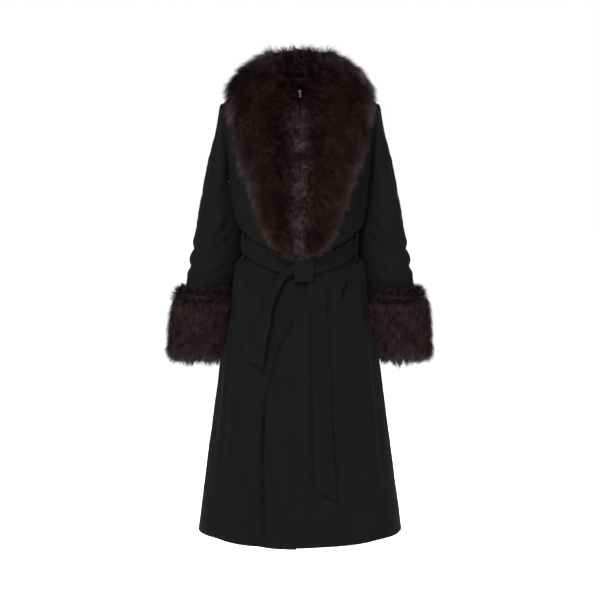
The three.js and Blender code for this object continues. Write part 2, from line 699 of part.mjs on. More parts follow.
// One section of a collar half: its underside outwards, then its fur back over the top.
function collarSection(station) {
  const on = (t) => {
    const angle = lerp(station.start.angle, station.end.angle, t);
    const run = lerp(station.start.run, station.end.run, t);
    const base = bodyPoint(angle, run);
    return { base, normal: bodyNormal(angle, run), rest: COLLAR.gap + lapAt(base.x, base.z) };
  };
  const held = (point) => {
    point.x = max(point.x, COLLAR.halfGap);
    return point;
  };
  const underside = steps(COLLAR.underSteps).map((t) => {
    const { base, normal, rest } = on(t);
    return held(base.addScaledVector(normal, rest));
  });
  const top = steps(COLLAR.archSteps)
    .slice(1, -1)
    .map((s) => {
      const t = (1 + cos(PI * s)) / 2;
      const swell = sin(PI * s) ** COLLAR.corner;
      const { base, normal, rest } = on(t);
      const stand = min(station.lift / COLLAR.fullStand, 1);
      const inward = new Vector3(-base.x, (COLLAR.axisY - base.y) * stand, 0).normalize();
      const near = (1 - t) ** COLLAR.standFall;
      const rise = normal.clone().lerp(UP, stand * (1 - smoothstep(t, 0, COLLAR.standEnd))).normalize();
      base.addScaledVector(normal, rest).addScaledVector(rise, station.thick * swell);
      base.addScaledVector(inward, lerp(COLLAR.meet, COLLAR.lean, stand) * swell * near);
      base.z += station.lift * swell * near;
      return held(base);
    });
  return [...underside, ...top];
}

const COLLAR_STATIONS = [
  ...doubled([...COLLAR_BACK.map((row) => collarStation(false, row)), shoulderStation(false)]),
  ...doubled([shoulderStation(true), ...COLLAR_FRONT.map((row) => collarStation(true, row))]).slice(1),
];

// The sections with the fur's points drawn towards those of the sections on either side. The two
// halves mirror each other at the back centre. The corner of the neckline and the lower end stay.
function evened(sections) {
  const last = sections.length - 1;
  return sections.map((section, i) => {
    if (i === last || COLLAR_STATIONS[i].corner) return section;
    const before = i > 0 ? sections[i - 1] : mirrored([sections[1]])[0];
    const after = sections[i + 1];
    return section.map((point, j) => {
      if (j <= COLLAR.underSteps) return point;
      const drawn = before[j].clone().lerp(after[j], 0.5).lerp(point, 0.5);
      drawn.x = max(drawn.x, COLLAR.halfGap);
      return drawn;
    });
  });
}

const COLLAR_SECTIONS = steps(COLLAR.evenings - 1).reduce(
  evened,
  COLLAR_STATIONS.map(collarSection),
);

addPair("collar", (side) => loft(side(COLLAR_SECTIONS)), fur);

// The hook and eye lie on the fur, one above the other on the centre line.
const collars = coat.children.filter((mesh) => mesh.name.startsWith("collar"));

// How far forward the fur reaches behind a ring at a height.
function furFace(z) {
  const ahead = new Vector3(0, 1, 0);
  const reach = FASTENER.ring + FASTENER.wire;
  const hits = [-reach, -reach / 3, reach / 3, reach].flatMap((x) =>
    [-reach, 0, reach].flatMap((rise) => {
      const from = new Vector3(x, FASTENER.from, z + rise);
      return new THREE.Raycaster(from, ahead).intersectObjects(collars).slice(0, 1);
    }),
  );
  return min(...hits.map((hit) => hit.point.y));
}

for (const [name, z] of [
  ["neck_hook", FASTENER.hookZ],
  ["neck_eye", FASTENER.eyeZ],
]) {
  const ring = new THREE.TorusGeometry(FASTENER.ring, FASTENER.wire, FASTENER.sides, FASTENER.segments);
  ring.rotateX(PI / 2);
  ring.translate(0, furFace(z) - FASTENER.wire + FASTENER.sunk, z);
  add(name, ring, steel());
}

// The belt.

function beltBand() {
  const rises = [BELT.half, BELT.half / 3, -BELT.half / 3, -BELT.half];
  const angles = steps(BELT.steps)
    .slice(0, -1)
    .map((t) => -SIDE_SEAM + 360 * t);
  const normals = [];
  const grid = rises.map((rise) => {
    const run = runOfLevel(BELT.level + rise);
    normals.push(angles.map((angle) => bodyNormal(angle, run)));
    return angles.map((angle, j) => {
      const point = bodyPoint(angle, run);
      const lap = abs(turned(angle)) < SIDE_SEAM ? lapAt(point.x, point.z) : 0;
      return point.addScaledVector(normals.at(-1)[j], BELT.gap + BELT.thick + lap);
    });
  });
  return wall(grid, normals, { closed: true, thick: BELT.thick });
}

add("belt_band", beltBand(), wool());

// The knot is a strap folded back on itself: a flat loop, open at its two sides.
function beltKnot() {
  const half = (KNOT.top - KNOT.bottom) / 2;
  const deep = KNOT.wall + KNOT.hollow / 2;
  const behind = BELT.gap + BELT.thick + KNOT.behind;
  const grid = steps(KNOT.columns).map((across) => {
    const x = lerp(KNOT.left, KNOT.right, across);
    return steps(KNOT.points)
      .slice(0, -1)
      .map((t) => {
        const a = 2 * PI * t;
        const z = (KNOT.top + KNOT.bottom) / 2 + half * Math.sign(sin(a)) * abs(sin(a)) ** KNOT.square;
        const off = behind + deep * (1 + Math.sign(cos(a)) * abs(cos(a)) ** KNOT.square);
        return offFront(x, z, off);
      });
  });
  return wall(grid, gridNormals(grid, true, 1), { closed: true, thick: KNOT.wall });
}

add("belt_knot", beltKnot(), wool());

// A tail: a strip whose two edges the table gives, off the fronts by the distances in it.
function beltTail(rows) {
  const grid = rows.map((row) =>
    steps(TAIL.columns).map((t) =>
      offFront(lerp(row.leftX, row.rightX, t), lerp(row.leftZ, row.rightZ, t), lerp(row.left, row.right, t)),
    ),
  );
  return wall(grid, gridNormals(grid, false, 1), { thick: TAIL.thick });
}

add("belt_tail_right", beltTail(TAIL_SHORT), wool());
add("belt_tail_left", beltTail(TAIL_LONG), wool());

// A narrow loop over the belt at each side, sewn to the cloth above and below it.
function beltLoop(side) {
  const half = (LOOP.half / read(SECTIONS, "level", BELT.level, "half")) * (180 / PI);
  const grid = LOOP_ROWS.map(({ rise, off }) => {
    const run = runOfLevel(BELT.level + rise);
    return [-half, 0, half].map((turn) => offBody(LOOP.angle + turn, run, off));
  });
  return wall(side(grid), side(gridNormals(grid, false, 1)), { thick: LOOP.thick });
}

addPair("belt_loop", beltLoop, wool);

export default coat;
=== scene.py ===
"""The looks of a long belted wool coat with a fur shawl collar and fur cuffs.

The coat has the form it has when worn, hollow and open at the neck, the cuffs and the hem. All
sizes are in millimetres until a mesh is made, +Z is up and the coat faces -Y, so the wearer's left
is +X. Every piece lies on the same body surface as its solid, which it stands for.
"""

import logging
import math
from dataclasses import dataclass
from enum import Enum
from typing import Callable, Iterable, Sequence

import bpy
import numpy as np
from bpy.types import ID, Material, Node, NodeSocket, NodeTree, Object
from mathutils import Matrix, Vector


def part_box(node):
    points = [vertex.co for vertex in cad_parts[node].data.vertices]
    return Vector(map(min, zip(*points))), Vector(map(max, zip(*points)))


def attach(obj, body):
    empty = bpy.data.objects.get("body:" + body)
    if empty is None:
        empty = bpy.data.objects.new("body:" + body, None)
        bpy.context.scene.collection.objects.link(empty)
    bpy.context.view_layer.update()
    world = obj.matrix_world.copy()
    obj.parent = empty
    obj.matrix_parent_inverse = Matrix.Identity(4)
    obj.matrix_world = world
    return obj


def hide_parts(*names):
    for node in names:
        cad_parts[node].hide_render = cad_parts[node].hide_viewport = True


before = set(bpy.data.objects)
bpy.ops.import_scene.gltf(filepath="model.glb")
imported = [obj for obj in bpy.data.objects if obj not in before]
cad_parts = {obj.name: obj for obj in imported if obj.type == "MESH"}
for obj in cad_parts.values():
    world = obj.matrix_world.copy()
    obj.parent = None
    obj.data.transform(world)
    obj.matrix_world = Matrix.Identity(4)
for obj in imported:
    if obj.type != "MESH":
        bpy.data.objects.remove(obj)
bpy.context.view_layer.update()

MM = 0.001
SIDE_SEAM = 90.0
BACK_START = 90.01
CLOTH = 2.2
CREASE_DEPTH = 1.3
CREASE_RISE = 0.38
CREASE_RISE_AT = 1.9
NAP = ((0.4, 90, 5), (0.2, 34, 9))
SHOULDER_TIP = np.array([187.0, 0.0, -44.0])
SHOULDER_SPREAD = 0.35
SHOULDER_DROP = 8.0
SHOULDER_REACH = 24.0
SHOULDER_WAY = (0.6, 0.8)
SCREEN_WHITE = (1.0, 1.0, 1.0, 1.0)
LOG = logging.getLogger("coat")

Array = np.ndarray
Row = tuple[float, ...]
Rows = tuple[Row, ...]
Colour = tuple[int, int, int]


class Side(Enum):
    """The wearer's left or right."""

    LEFT = 1
    RIGHT = -1

    @property
    def suffix(self) -> str:
        """The ending of the names of this side's pieces."""
        return "left" if self is Side.LEFT else "right"


class View(Enum):
    """The side from which a crease's path is given, with the direction towards that side."""

    FRONT = (0.0, -1.0)
    BACK = (0.0, 1.0)
    LEFT = (1.0, 0.0)
    RIGHT = (-1.0, 0.0)


# Numbers and points.


def smoothstep(value: Array, low: float, high: float) -> Array:
    """A smooth rise from 0 at low to 1 at high.

    Args:
        value: The places at which it is read.
        low: Where the rise starts.
        high: Where the rise ends.

    Returns:
        The height of the rise at each place.
    """
    t = np.clip((np.asarray(value, float) - low) / (high - low), 0, 1)
    return t * t * (3 - 2 * t)


def hump(value: Array, middle: float, width: float) -> Array:
    """A smooth bump of height 1 at the middle."""
    return np.exp(-(((value - middle) / width) ** 2))


def unit(vectors: Array) -> Array:
    """The vectors at length 1."""
    return vectors / np.maximum(np.linalg.norm(vectors, axis=-1, keepdims=True), 1e-9)


def mixed(a: Array, b: Array, share: Array) -> Array:
    """A blend of a and b, all b where the share is 1."""
    return a + (b - a) * share


def mirrored(points: Array) -> Array:
    """The points on the other side of the coat."""
    return points * np.array([-1.0, 1.0, 1.0])


def ripple(points: Array, size: float, seed: int) -> Array:
    """A smooth random height between about -1 and 1 over space.

    Args:
        points: Where it is read, in millimetres.
        size: About how far apart its bumps are.
        seed: Which of the possible patterns it is.

    Returns:
        The height at each point.
    """
    random = np.random.default_rng(seed)
    total = np.zeros(points.shape[:-1])
    waves = 9
    for _ in range(waves):
        way = unit(random.normal(size=3)) * (2 * math.pi / size) * random.uniform(0.6, 1.5)
        total += np.sin(points @ way + random.uniform(0, 2 * math.pi))
    return total / math.sqrt(waves)


class Curve:
    """A smooth curve through the rows of a table, whose keys rise or fall."""

    def __init__(self, keys: Sequence[float], values: Sequence[float]) -> None:
        """Prepares the curve.

        Args:
            keys: The places of the rows, in order.
            values: What the curve passes through at those places.
        """
        ordered = np.array(keys, float)
        self.sense = 1.0 if ordered[-1] > ordered[0] else -1.0
        self.keys = ordered * self.sense
        self.values = np.array(values, float)
        last = len(ordered) - 1
        before = np.maximum(np.arange(last + 1) - 1, 0)
        after = np.minimum(np.arange(last + 1) + 1, last)
        self.slopes = (self.values[after] - self.values[before]) / (self.keys[after] - self.keys[before])

    def __call__(self, place: Array) -> Array:
        """Reads the curve.

        Args:
            place: The places along the key column.

        Returns:
            The curve's value at each place.
        """
        where = np.asarray(place, float) * self.sense
        i = np.clip(np.searchsorted(self.keys, where, side="left") - 1, 0, len(self.keys) - 2)
        span = self.keys[i + 1] - self.keys[i]
        t = np.clip((where - self.keys[i]) / span, 0, 1)
        return (
            self.values[i] * (1 + 2 * t) * (1 - t) ** 2
            + self.slopes[i] * span * t * (1 - t) ** 2
            + self.values[i + 1] * t * t * (3 - 2 * t)
            + self.slopes[i + 1] * span * t * t * (t - 1)
        )


def curves(keys: Sequence[float], *columns: Sequence[float]) -> list[Curve]:
    """One curve for each column of a table."""
    return [Curve(keys, column) for column in columns]


def solved(rising: Callable[[Array], Array], value: Array, low: float, high: float) -> Array:
    """The arguments at which a rising function reaches its values.

    Args:
        rising: The function.
        value: The values that it shall reach.
        low: The lowest argument.
        high: The highest argument.

    Returns:
        The argument for each value.
    """
    value = np.asarray(value, float)
    floor = np.full(value.shape, low)
    roof = np.full(value.shape, high)
    for _ in range(26):
        middle = (floor + roof) / 2
        below = rising(middle) < value
        floor = np.where(below, middle, floor)
        roof = np.where(below, roof, middle)
    return (floor + roof) / 2


def smoothed_line(points: Sequence[Sequence[float]], count: int) -> Array:
    """A smooth line of count points through the given ones."""
    rows = np.array(points, float)
    keys = np.arange(len(rows))
    place = np.linspace(0, len(rows) - 1, count)
    return np.stack([Curve(keys, rows[:, k])(place) for k in range(rows.shape[1])], axis=-1)


# The body surface.


@dataclass(frozen=True)
class Fold:
    """A large soft fold of the cloth: where round the body, how wide and how deep."""

    angle: float
    width: float
    depth: float
    top: float
    bottom: float
    lean: float


FOLDS = (
    Fold(37, 7, 7, -405, -720, -60),
    Fold(22, 6, -5, -440, -980, 0),
    Fold(62, 6, 5, -405, -600, -40),
    Fold(-60, 6, 5, -405, -600, 40),
    Fold(-42, 7, 5, -405, -690, 45),
    Fold(-27, 5, -7, -560, -1300, 6),
    Fold(50, 11, -6, -820, -1300, 0),
    Fold(-56, 11, -6, -800, -1300, 0),
    Fold(115, 8, 6, -405, -1300, 6),
    Fold(148, 8, 7, -405, -1300, 4),
    Fold(168, 6, -5, -405, -1300, 2),
    Fold(-112, 8, 7, -405, -1300, -5),
    Fold(-140, 8, 6, -405, -1300, -6),
    Fold(-166, 7, 6, -405, -1300, 0),
    Fold(62, 7, -6, -190, -350, -60),
    Fold(-62, 7, -6, -190, -350, 60),
)


@dataclass
class Body:
    """The one surface on which all of the cloth lies.

    A point has an angle round the body, 0 at the front centre and 180 at the back centre, and a run
    down the cloth: 0 on the neckline and the shoulder seam, 1 at the armpit and 2 at the hem.
    """

    armpit: float = -235.0
    hem: float = -1094.0
    neck_half: float = 72.0
    neck_angle: float = 27.7
    neck_front: tuple[float, float] = (-78.0, -28.0)
    neck_back: tuple[float, float] = (66.0, 16.0)
    tip: tuple[float, float] = (187.0, -44.0)
    bulge_front: float = -48.0
    bulge_back: float = 52.0
    belt_dip: float = 47.0
    fold_fade: float = 70.0
    lap_height: float = 5.5
    levels: Row = (
        -235, -300, -340, -363, -385, -407, -430, -470, -527, -570, -626, -675, -750, -830, -910,
        -1000, -1094,
    )
    halves: Row = (
        172, 165, 154, 140, 138, 140, 154, 163, 166, 170, 183, 195, 205, 216, 228, 240, 252,
    )
    fronts: Row = (
        116, 120, 119, 113, 112, 113, 117, 126, 138, 146, 154, 160, 168, 176, 184, 191, 197,
    )
    backs: Row = (
        106, 103, 99, 93, 92, 93, 103, 114, 124, 131, 139, 145, 152, 161, 169, 177, 185,
    )
    dips: Row = (
        0, 0.35, 0.75, 1, 1, 1, 0.92, 0.72, 0.45, 0.28, 0.14, 0.06, 0, 0, 0, 0, 0,
    )
    edge_levels: Row = (
        0, -110, -200, -300, -400, -450, -505, -535, -570, -617, -664, -711, -770, -840, -934,
        -1029, -1100,
    )
    upper_edge: Row = (
        0.5, 0.5, 0.5, 2, 8, 14, 11, 0, -15, -38, -56, -67, -76, -80, -80, -78, -74,
    )
    under_edge: Row = (
        -0.5, -0.5, 12, 40, 62, 76, 76, 66, 52, 30, 12, 1, -7, -10, -11, -10, -9,
    )

    def __post_init__(self) -> None:
        """Makes the curves through the tables."""
        self.half, self.front, self.back, self.dip = curves(
            self.levels, self.halves, self.fronts, self.backs, self.dips
        )
        self.upper, self.under = curves(self.edge_levels, self.upper_edge, self.under_edge)

    def turned(self, angle: Array) -> Array:
        """The angle brought between -180 and 180."""
        return np.where(angle > 180, angle - 360, angle)

    def run_of(self, level: Array) -> Array:
        """The run of a level below the armpit."""
        return 1 + (self.armpit - level) / (self.armpit - self.hem)

    def level_of(self, run: Array) -> Array:
        """The level of a run below the armpit."""
        return mixed(self.armpit, self.hem, run - 1)

    def fold_depth(self, angle: Array, level: Array) -> Array:
        """How far the large folds push the cloth out."""
        total = np.zeros(np.broadcast(angle, level).shape)
        for fold in FOLDS:
            away = self.turned(angle) - fold.angle - fold.lean * (fold.top - level) / 1000
            shown = smoothstep(fold.top - level, 0, self.fold_fade)
            shown = shown * smoothstep(level - fold.bottom, 0, self.fold_fade)
            total = total + fold.depth * shown * hump(away, 0, fold.width)
        return total

    def ring(self, angle: Array, level: Array) -> Array:
        """A point of a section at or below the armpit."""
        facing = np.cos(np.radians(angle))
        depth = np.where(facing > 0, self.front(level), self.back(level))
        dip = self.belt_dip * np.maximum(facing, 0) ** 2 * self.dip(level)
        out = self.fold_depth(angle, level)
        x = (self.half(level) + out) * np.sin(np.radians(angle))
        return np.stack([x, -(depth + out) * facing, level - dip], axis=-1)

    def top(self, angle: Array) -> Array:
        """A point of the neckline or of the shoulder seam."""
        way = self.turned(angle)
        turn = np.minimum(np.abs(way), 180 - np.abs(way))
        sense = np.where(way < 0, -1.0, 1.0)
        ahead = np.abs(way) <= SIDE_SEAM
        neck_y = np.where(ahead, self.neck_front[0], self.neck_back[0])
        neck_z = np.where(ahead, self.neck_front[1], self.neck_back[1])
        a = (math.pi / 2) * np.clip(turn / self.neck_angle, 0, 1)
        t = np.clip((turn - self.neck_angle) / (SIDE_SEAM - self.neck_angle), 0, 1)
        inside = turn <= self.neck_angle
        x = np.where(inside, self.neck_half * np.sin(a), mixed(self.neck_half, self.tip[0], t))
        y = np.where(inside, neck_y * np.cos(a), 0)
        z = np.where(inside, neck_z * np.cos(a) ** 2, self.tip[1] * (0.8 * t + 0.2 * t * t))
        return np.stack([sense * x, y, z], axis=-1)

    def yoke(self, angle: Array, run: Array) -> Array:
        """A point above the armpit, where the cloth rolls over the shoulder."""
        way = self.turned(angle)
        turn = np.minimum(np.abs(way), 180 - np.abs(way))
        top = self.top(angle)
        ring = self.ring(angle, np.full(np.shape(angle), self.armpit))
        rolled = smoothstep(turn, 0.3 * self.neck_angle, 0.95 * self.neck_angle)
        out = mixed(run, np.sin(run * math.pi / 2), rolled)
        down = mixed(run, 1 - np.cos(run * math.pi / 2), rolled)
        bulge = np.where(np.abs(way) <= SIDE_SEAM, self.bulge_front, self.bulge_back)
        bow = bulge * smoothstep(turn, 45, SIDE_SEAM)
        bow = bow * np.maximum(np.sin(math.pi * run), 0) ** 0.6
        return np.stack(
            [
                mixed(top[..., 0], ring[..., 0], out),
                mixed(top[..., 1], ring[..., 1], out) + bow,
                mixed(top[..., 2], ring[..., 2], down),
            ],
            axis=-1,
        )

    def point(self, angle: Array, run: Array) -> Array:
        """A point of the surface."""
        angle, run = np.broadcast_arrays(np.asarray(angle, float), np.asarray(run, float))
        above = self.yoke(angle, np.clip(run, 0, 1))
        below = self.ring(angle, self.level_of(np.maximum(run, 1)))
        return np.where((run < 1)[..., None], above, below)

    def normal(self, angle: Array, run: Array) -> Array:
        """The direction straight out of the cloth, taken on one side only at the armhole."""
        angle, run = np.broadcast_arrays(np.asarray(angle, float), np.asarray(run, float))
        low = np.where(angle <= SIDE_SEAM, -SIDE_SEAM, BACK_START)
        high = np.where(angle <= SIDE_SEAM, SIDE_SEAM, 360 - BACK_START)
        down = self.point(angle, run + 0.004) - self.point(angle, np.maximum(run - 0.004, 0))
        far = self.point(np.minimum(angle + 0.5, high), run)
        near = self.point(np.maximum(angle - 0.5, low), run)
        return unit(np.cross(down, far - near))

    def off(self, angle: Array, run: Array, away: Array) -> Array:
        """A point that stands off the surface."""
        return self.point(angle, run) + self.normal(angle, run) * np.asarray(away)[..., None]

    def lap(self, x: Array, z: Array) -> Array:
        """How far the upper front stands off the body, to clear the front beneath it."""
        painted_light_hollow = smoothstep(x - self.upper(z), -45, -8) * (1 - smoothstep(x - self.under(z), 8, 62))
        return self.lap_height * painted_light_hollow * smoothstep(-np.asarray(z), 95, 150)

    def place(self, front: bool, x: Array, z: Array) -> tuple[Array, Array]:
        """The angle and run of the points with these x and z.

        Args:
            front: Whether they are on the front or on the back.
            x: How far each is to the wearer's left.
            z: How high each is.

        Returns:
            Their angles and their runs.
        """
        x, z = np.broadcast_arrays(np.asarray(x, float), np.asarray(z, float))

        def turn(a: Array) -> Array:
            """The angle on this side of the coat."""
            return a if front else 180 - a

        def angle_at(run: Array) -> Array:
            """The angle at which the surface reaches x on a run."""
            low = -85.0 if front else 0.0
            return turn(solved(lambda a: self.point(turn(a), run)[..., 0], x, low, 89.5))

        run = solved(lambda r: -self.point(angle_at(r), r)[..., 2], -z, 0, 1.99)
        return angle_at(run), run

    def off_front(self, x: Array, z: Array, away: Array) -> Array:
        """The points seen from the front at x and z, off the front panels.

        Args:
            x: How far each is to the wearer's left.
            z: How high each is.
            away: How far each stands off.

        Returns:
            The points.
        """
        x, z = np.broadcast_arrays(np.asarray(x, float), np.asarray(z, float))
        angles, runs = np.meshgrid(np.linspace(-80, 80, 81), np.linspace(1.0, 1.99, 100))
        known = self.point(angles, runs).reshape(-1, 3)
        gap = (x.reshape(-1, 1) - known[:, 0]) ** 2 + (z.reshape(-1, 1) - known[:, 2]) ** 2
        nearest = np.argmin(gap, axis=1)
        angle = angles.ravel()[nearest].reshape(x.shape)
        run = runs.ravel()[nearest].reshape(x.shape)
        for _ in range(6):
            here = self.point(angle, run)
            by_angle = (self.point(angle + 0.1, run) - here) / 0.1
            by_run = (self.point(angle, run + 0.001) - here) / 0.001
            miss_x = x - here[..., 0]
            miss_z = z - here[..., 2]
            scale = by_angle[..., 0] * by_run[..., 2] - by_angle[..., 2] * by_run[..., 0]
            angle = angle + (miss_x * by_run[..., 2] - miss_z * by_run[..., 0]) / scale
            run = run + (miss_z * by_angle[..., 0] - miss_x * by_angle[..., 2]) / scale
        return self.off(angle, run, np.asarray(away) + self.lap(x, z))


# Creases.


@dataclass(frozen=True)
class Crease:
    """A soft trough or ridge in the cloth.

    The path gives its places seen from one side, across and up. A depth below zero is a trough. The
    skew makes it steeper on one side of the path.
    """

    path: tuple[tuple[float, float], ...]
    width: float
    depth: float
    view: View = View.FRONT
    skew: float = 0.0

    def line(self, points: Array, normals: Array) -> Array:
        """The path laid on a piece of cloth.

        Args:
            points: The points of the cloth, one row each.
            normals: Their outward directions.

        Returns:
            The points of the path on that cloth, fewer than two where it doesn't pass there.
        """
        flat = smoothed_line(self.path, 40)
        across = np.array([-self.view.value[1], self.view.value[0]])
        seen = points[:, :2] @ np.abs(across)
        facing = normals[:, :2] @ np.array(self.view.value) > 0.12
        away = np.hypot(seen[None] - flat[:, :1], points[None, :, 2] - flat[:, 1:])
        away = np.where(facing[None], away, 1e6)
        nearest = np.argmin(away, axis=1)
        kept = away[np.arange(len(flat)), nearest] < 14
        return points[nearest[kept]]

    def push(self, points: Array, normals: Array) -> Array:
        """How far this crease moves each point of a piece of cloth along its outward direction."""
        line = self.line(points, normals)
        if len(line) < 4:
            return np.zeros(len(points))
        kernel = np.array([1.0, 2.0, 3.0, 2.0, 1.0]) / 9
        padded = np.pad(line, ((2, 2), (0, 0)), mode="edge")
        line = np.stack([np.convolve(padded[:, k], kernel, "valid") for k in range(3)], axis=-1)
        away = np.linalg.norm(points[:, None] - line[None], axis=-1)
        nearest = np.argmin(away, axis=1)
        distance = away[np.arange(len(points)), nearest]
        ahead = np.gradient(line, axis=0)[nearest]
        turn = np.einsum("ij,ij->i", np.cross(ahead, points - line[nearest]), normals)
        width = self.width * (1 + self.skew * np.tanh(turn / (self.width * 2)))
        t = nearest / (len(line) - 1)
        taper = smoothstep(t, 0, 0.3) * (1 - smoothstep(t, 0.62, 1))
        rise = CREASE_RISE * hump(distance, CREASE_RISE_AT * width, width)
        return self.depth * taper * (hump(distance, 0, width) - rise)


def both(*creases: Crease) -> tuple[Crease, ...]:
    """The creases and their mirror images, a little less deep and a little longer."""
    others = []
    for crease in creases:
        path = tuple((-x * 0.985, z * 1.01 - 4) for x, z in crease.path)
        others.append(Crease(path, crease.width * 1.08, crease.depth * 0.88, crease.view, -crease.skew))
    return (*creases, *others)


def seen_from(view: View, *rows: tuple) -> tuple[Crease, ...]:
    """The creases seen from one side, from rows of path, width, depth and skew."""
    return tuple(Crease(path, width, depth, view, *skew) for path, width, depth, *skew in rows)


FRONT_CREASES = both(*seen_from(
    View.FRONT,
    (((-150, -170), (-152, -253), (-150, -303), (-142, -339), (-131, -357)), 6, -5.5, 0.3),
    (((-131, -300), (-120, -352), (-106, -374)), 5, -4),
    (((-142, -443), (-132, -466), (-118, -496)), 5, -4.5),
    (((-124, -448), (-114, -470), (-103, -500)), 4.5, -3),
    (((-156, -438), (-158, -480), (-160, -530)), 5, -4),
    (((-118, -262), (-122, -300), (-121, -338)), 8, 3),
)) + seen_from(
    View.FRONT,
    (((136, -440), (116, -482), (97, -526), (82, -590), (76, -650)), 11, -6),
    (((124, -440), (122, -500), (112, -580)), 8, 2.5),
    (((62, -470), (66, -520), (74, -590), (78, -690)), 8, -3),
    (((-60, -470), (-66, -530), (-78, -600), (-86, -700)), 8, 3),
    (((-70, -438), (-62, -456), (-64, -480), (-68, -505)), 6, -7),
    (((-132, -520), (-140, -640), (-146, -800), (-150, -960)), 12, -3),
    (((-30, -560), (-34, -660), (-46, -800), (-52, -960)), 11, 3),
    (((4, -640), (2, -760), (-6, -880), (-8, -1040)), 12, -3),
    (((108, -640), (116, -760), (124, -900), (130, -1060)), 13, -3.5),
    (((150, -560), (166, -700), (180, -860), (192, -1050)), 12, 3),
    (((-170, -600), (-182, -740), (-194, -880), (-206, -1050)), 12, 3),
    (((92, -690), (98, -800), (104, -930)), 9, 2.5),
    (((-8, -488), (-5, -500), (-1, -520)), 4, -3),
    (((-2, -486), (10, -505), (20, -540)), 5, -2.5),
    (((44, -478), (52, -496), (66, -520)), 4, -2.5),
    (((-84, -452), (-80, -480), (-84, -520)), 5, -2.5),
    (((96, -452), (90, -474), (84, -500)), 5, -2.5),
)
EDGE_CREASES = seen_from(
    View.FRONT,
    (((2, -490), (-21, -570), (-62, -664), (-80, -760), (-86, -840), (-86, -920)), 6, -6.5),
    (((-80, -760), (-86, -840), (-86, -960), (-84, -1050), (-82, -1100)), 7, -7.5),
)
BACK_CREASES = seen_from(
    View.BACK,
    (((-120, -350), (-96, -322), (-60, -300)), 8, -3.5, 0.3),
    (((112, -352), (92, -318), (66, -296)), 8, -3, -0.3),
    (((-60, -354), (-52, -318), (-50, -270)), 8, -3),
    (((44, -356), (40, -310), (44, -262)), 7, -3.5),
    (((-6, -358), (-2, -320), (6, -276)), 7, 2.5),
    (((84, -358), (80, -330), (84, -292)), 6, 2.5),
    (((-92, -358), (-86, -332), (-88, -296)), 6, 2.5),
    (((-146, -180), (-140, -240), (-124, -300)), 9, -4, 0.3),
    (((146, -186), (138, -246), (120, -312)), 9, -4.5, -0.3),
    (((-116, -190), (-108, -240), (-100, -280)), 9, 2.5),
    (((118, -196), (106, -250), (100, -286)), 9, 2.5),
    (((-104, -414), (-110, -470), (-122, -560)), 7, -4.5),
    (((-58, -412), (-60, -480), (-66, -600)), 8, -4.5),
    (((-22, -412), (-22, -470), (-26, -540)), 7, 3.5),
    (((24, -414), (27, -490), (36, -640)), 8, -5),
    (((70, -412), (76, -470), (86, -560)), 7, 3.5),
    (((104, -414), (112, -480), (126, -600)), 7, -4),
    (((-150, -560), (-160, -740), (-176, -1040)), 13, -4),
    (((-84, -620), (-92, -800), (-100, -1060)), 13, -5),
    (((-6, -600), (-8, -780), (-6, -1060)), 14, 5),
    (((66, -600), (72, -780), (78, -1050)), 13, -4.5),
    (((146, -580), (160, -760), (172, -1050)), 13, -4),
)
SIDE_CREASES = seen_from(
    View.LEFT,
    (((-36, -420), (-44, -500), (-60, -620)), 7, -4.5),
    (((30, -420), (34, -500), (48, -640)), 8, -4.5),
    (((-4, -560), (-6, -760), (-10, -1040)), 13, -4.5),
    (((-88, -640), (-100, -820), (-108, -1050)), 12, 3),
    (((84, -620), (96, -820), (106, -1050)), 12, -3.5),
) + seen_from(
    View.RIGHT,
    (((-30, -422), (-40, -510), (-52, -600)), 7, -4),
    (((36, -422), (42, -520), (60, -660)), 8, -5),
    (((2, -600), (6, -800), (8, -1050)), 13, -4.5),
    (((-92, -660), (-104, -840), (-112, -1060)), 12, 3),
    (((90, -660), (100, -850), (110, -1050)), 12, -3.5),
)
SLEEVE_CREASES = seen_from(
    View.FRONT,
    (((248, -436), (242, -452), (232, -474)), 5, -4, 0.3),
    (((160, -330), (186, -352), (206, -392)), 8, -4.5, 0.4),
    (((158, -366), (184, -384), (212, -402)), 7, -4),
    (((166, -404), (196, -400), (226, -420)), 7, -4, -0.3),
    (((172, -290), (190, -330), (200, -372)), 9, 3),
    (((170, -440), (192, -452), (220, -462)), 7, -3),
    (((196, -108), (206, -180), (214, -270)), 10, -3.5),
    (((184, -130), (186, -190), (190, -262)), 8, 3),
    (((226, -210), (236, -300), (244, -380)), 11, 2.5),
) + seen_from(
    View.LEFT,
    (((-30, -150), (-34, -230), (-26, -320)), 10, -4),
    (((20, -170), (24, -260), (30, -350)), 11, 3),
    (((-38, -392), (-6, -400), (34, -384)), 9, -3.5),
    (((-30, -432), (6, -446), (46, -436)), 8, -3.5),
) + seen_from(
    View.BACK,
    (((196, -120), (206, -200), (216, -300)), 11, -4),
    (((172, -330), (196, -350), (226, -352)), 9, -4),
    (((168, -374), (196, -384), (232, -378)), 8, -4.5),
    (((176, -414), (206, -420), (240, -408)), 8, -3.5),
    (((236, -240), (246, -320), (254, -390)), 11, 3),
)


def creased(grid: Array, normals: Array, creases: Iterable[Crease], held: Array | None = None) -> Array:
    """A grid of cloth with its creases pushed in.

    Args:
        grid: The points of the cloth.
        normals: Their outward directions.
        creases: The creases.
        held: The share of the creases that each point takes, where something holds the cloth.

    Returns:
        The points with the creases.
    """
    points = grid.reshape(-1, 3)
    ways = normals.reshape(-1, 3)
    push = CREASE_DEPTH * sum((crease.push(points, ways) for crease in creases), np.zeros(len(points)))
    for height, size, seed in NAP:
        push = push + height * ripple(points, size, seed)
    share = 1.0 if held is None else held.reshape(-1)
    return softened(points + ways * (push * share)[:, None]).reshape(grid.shape)


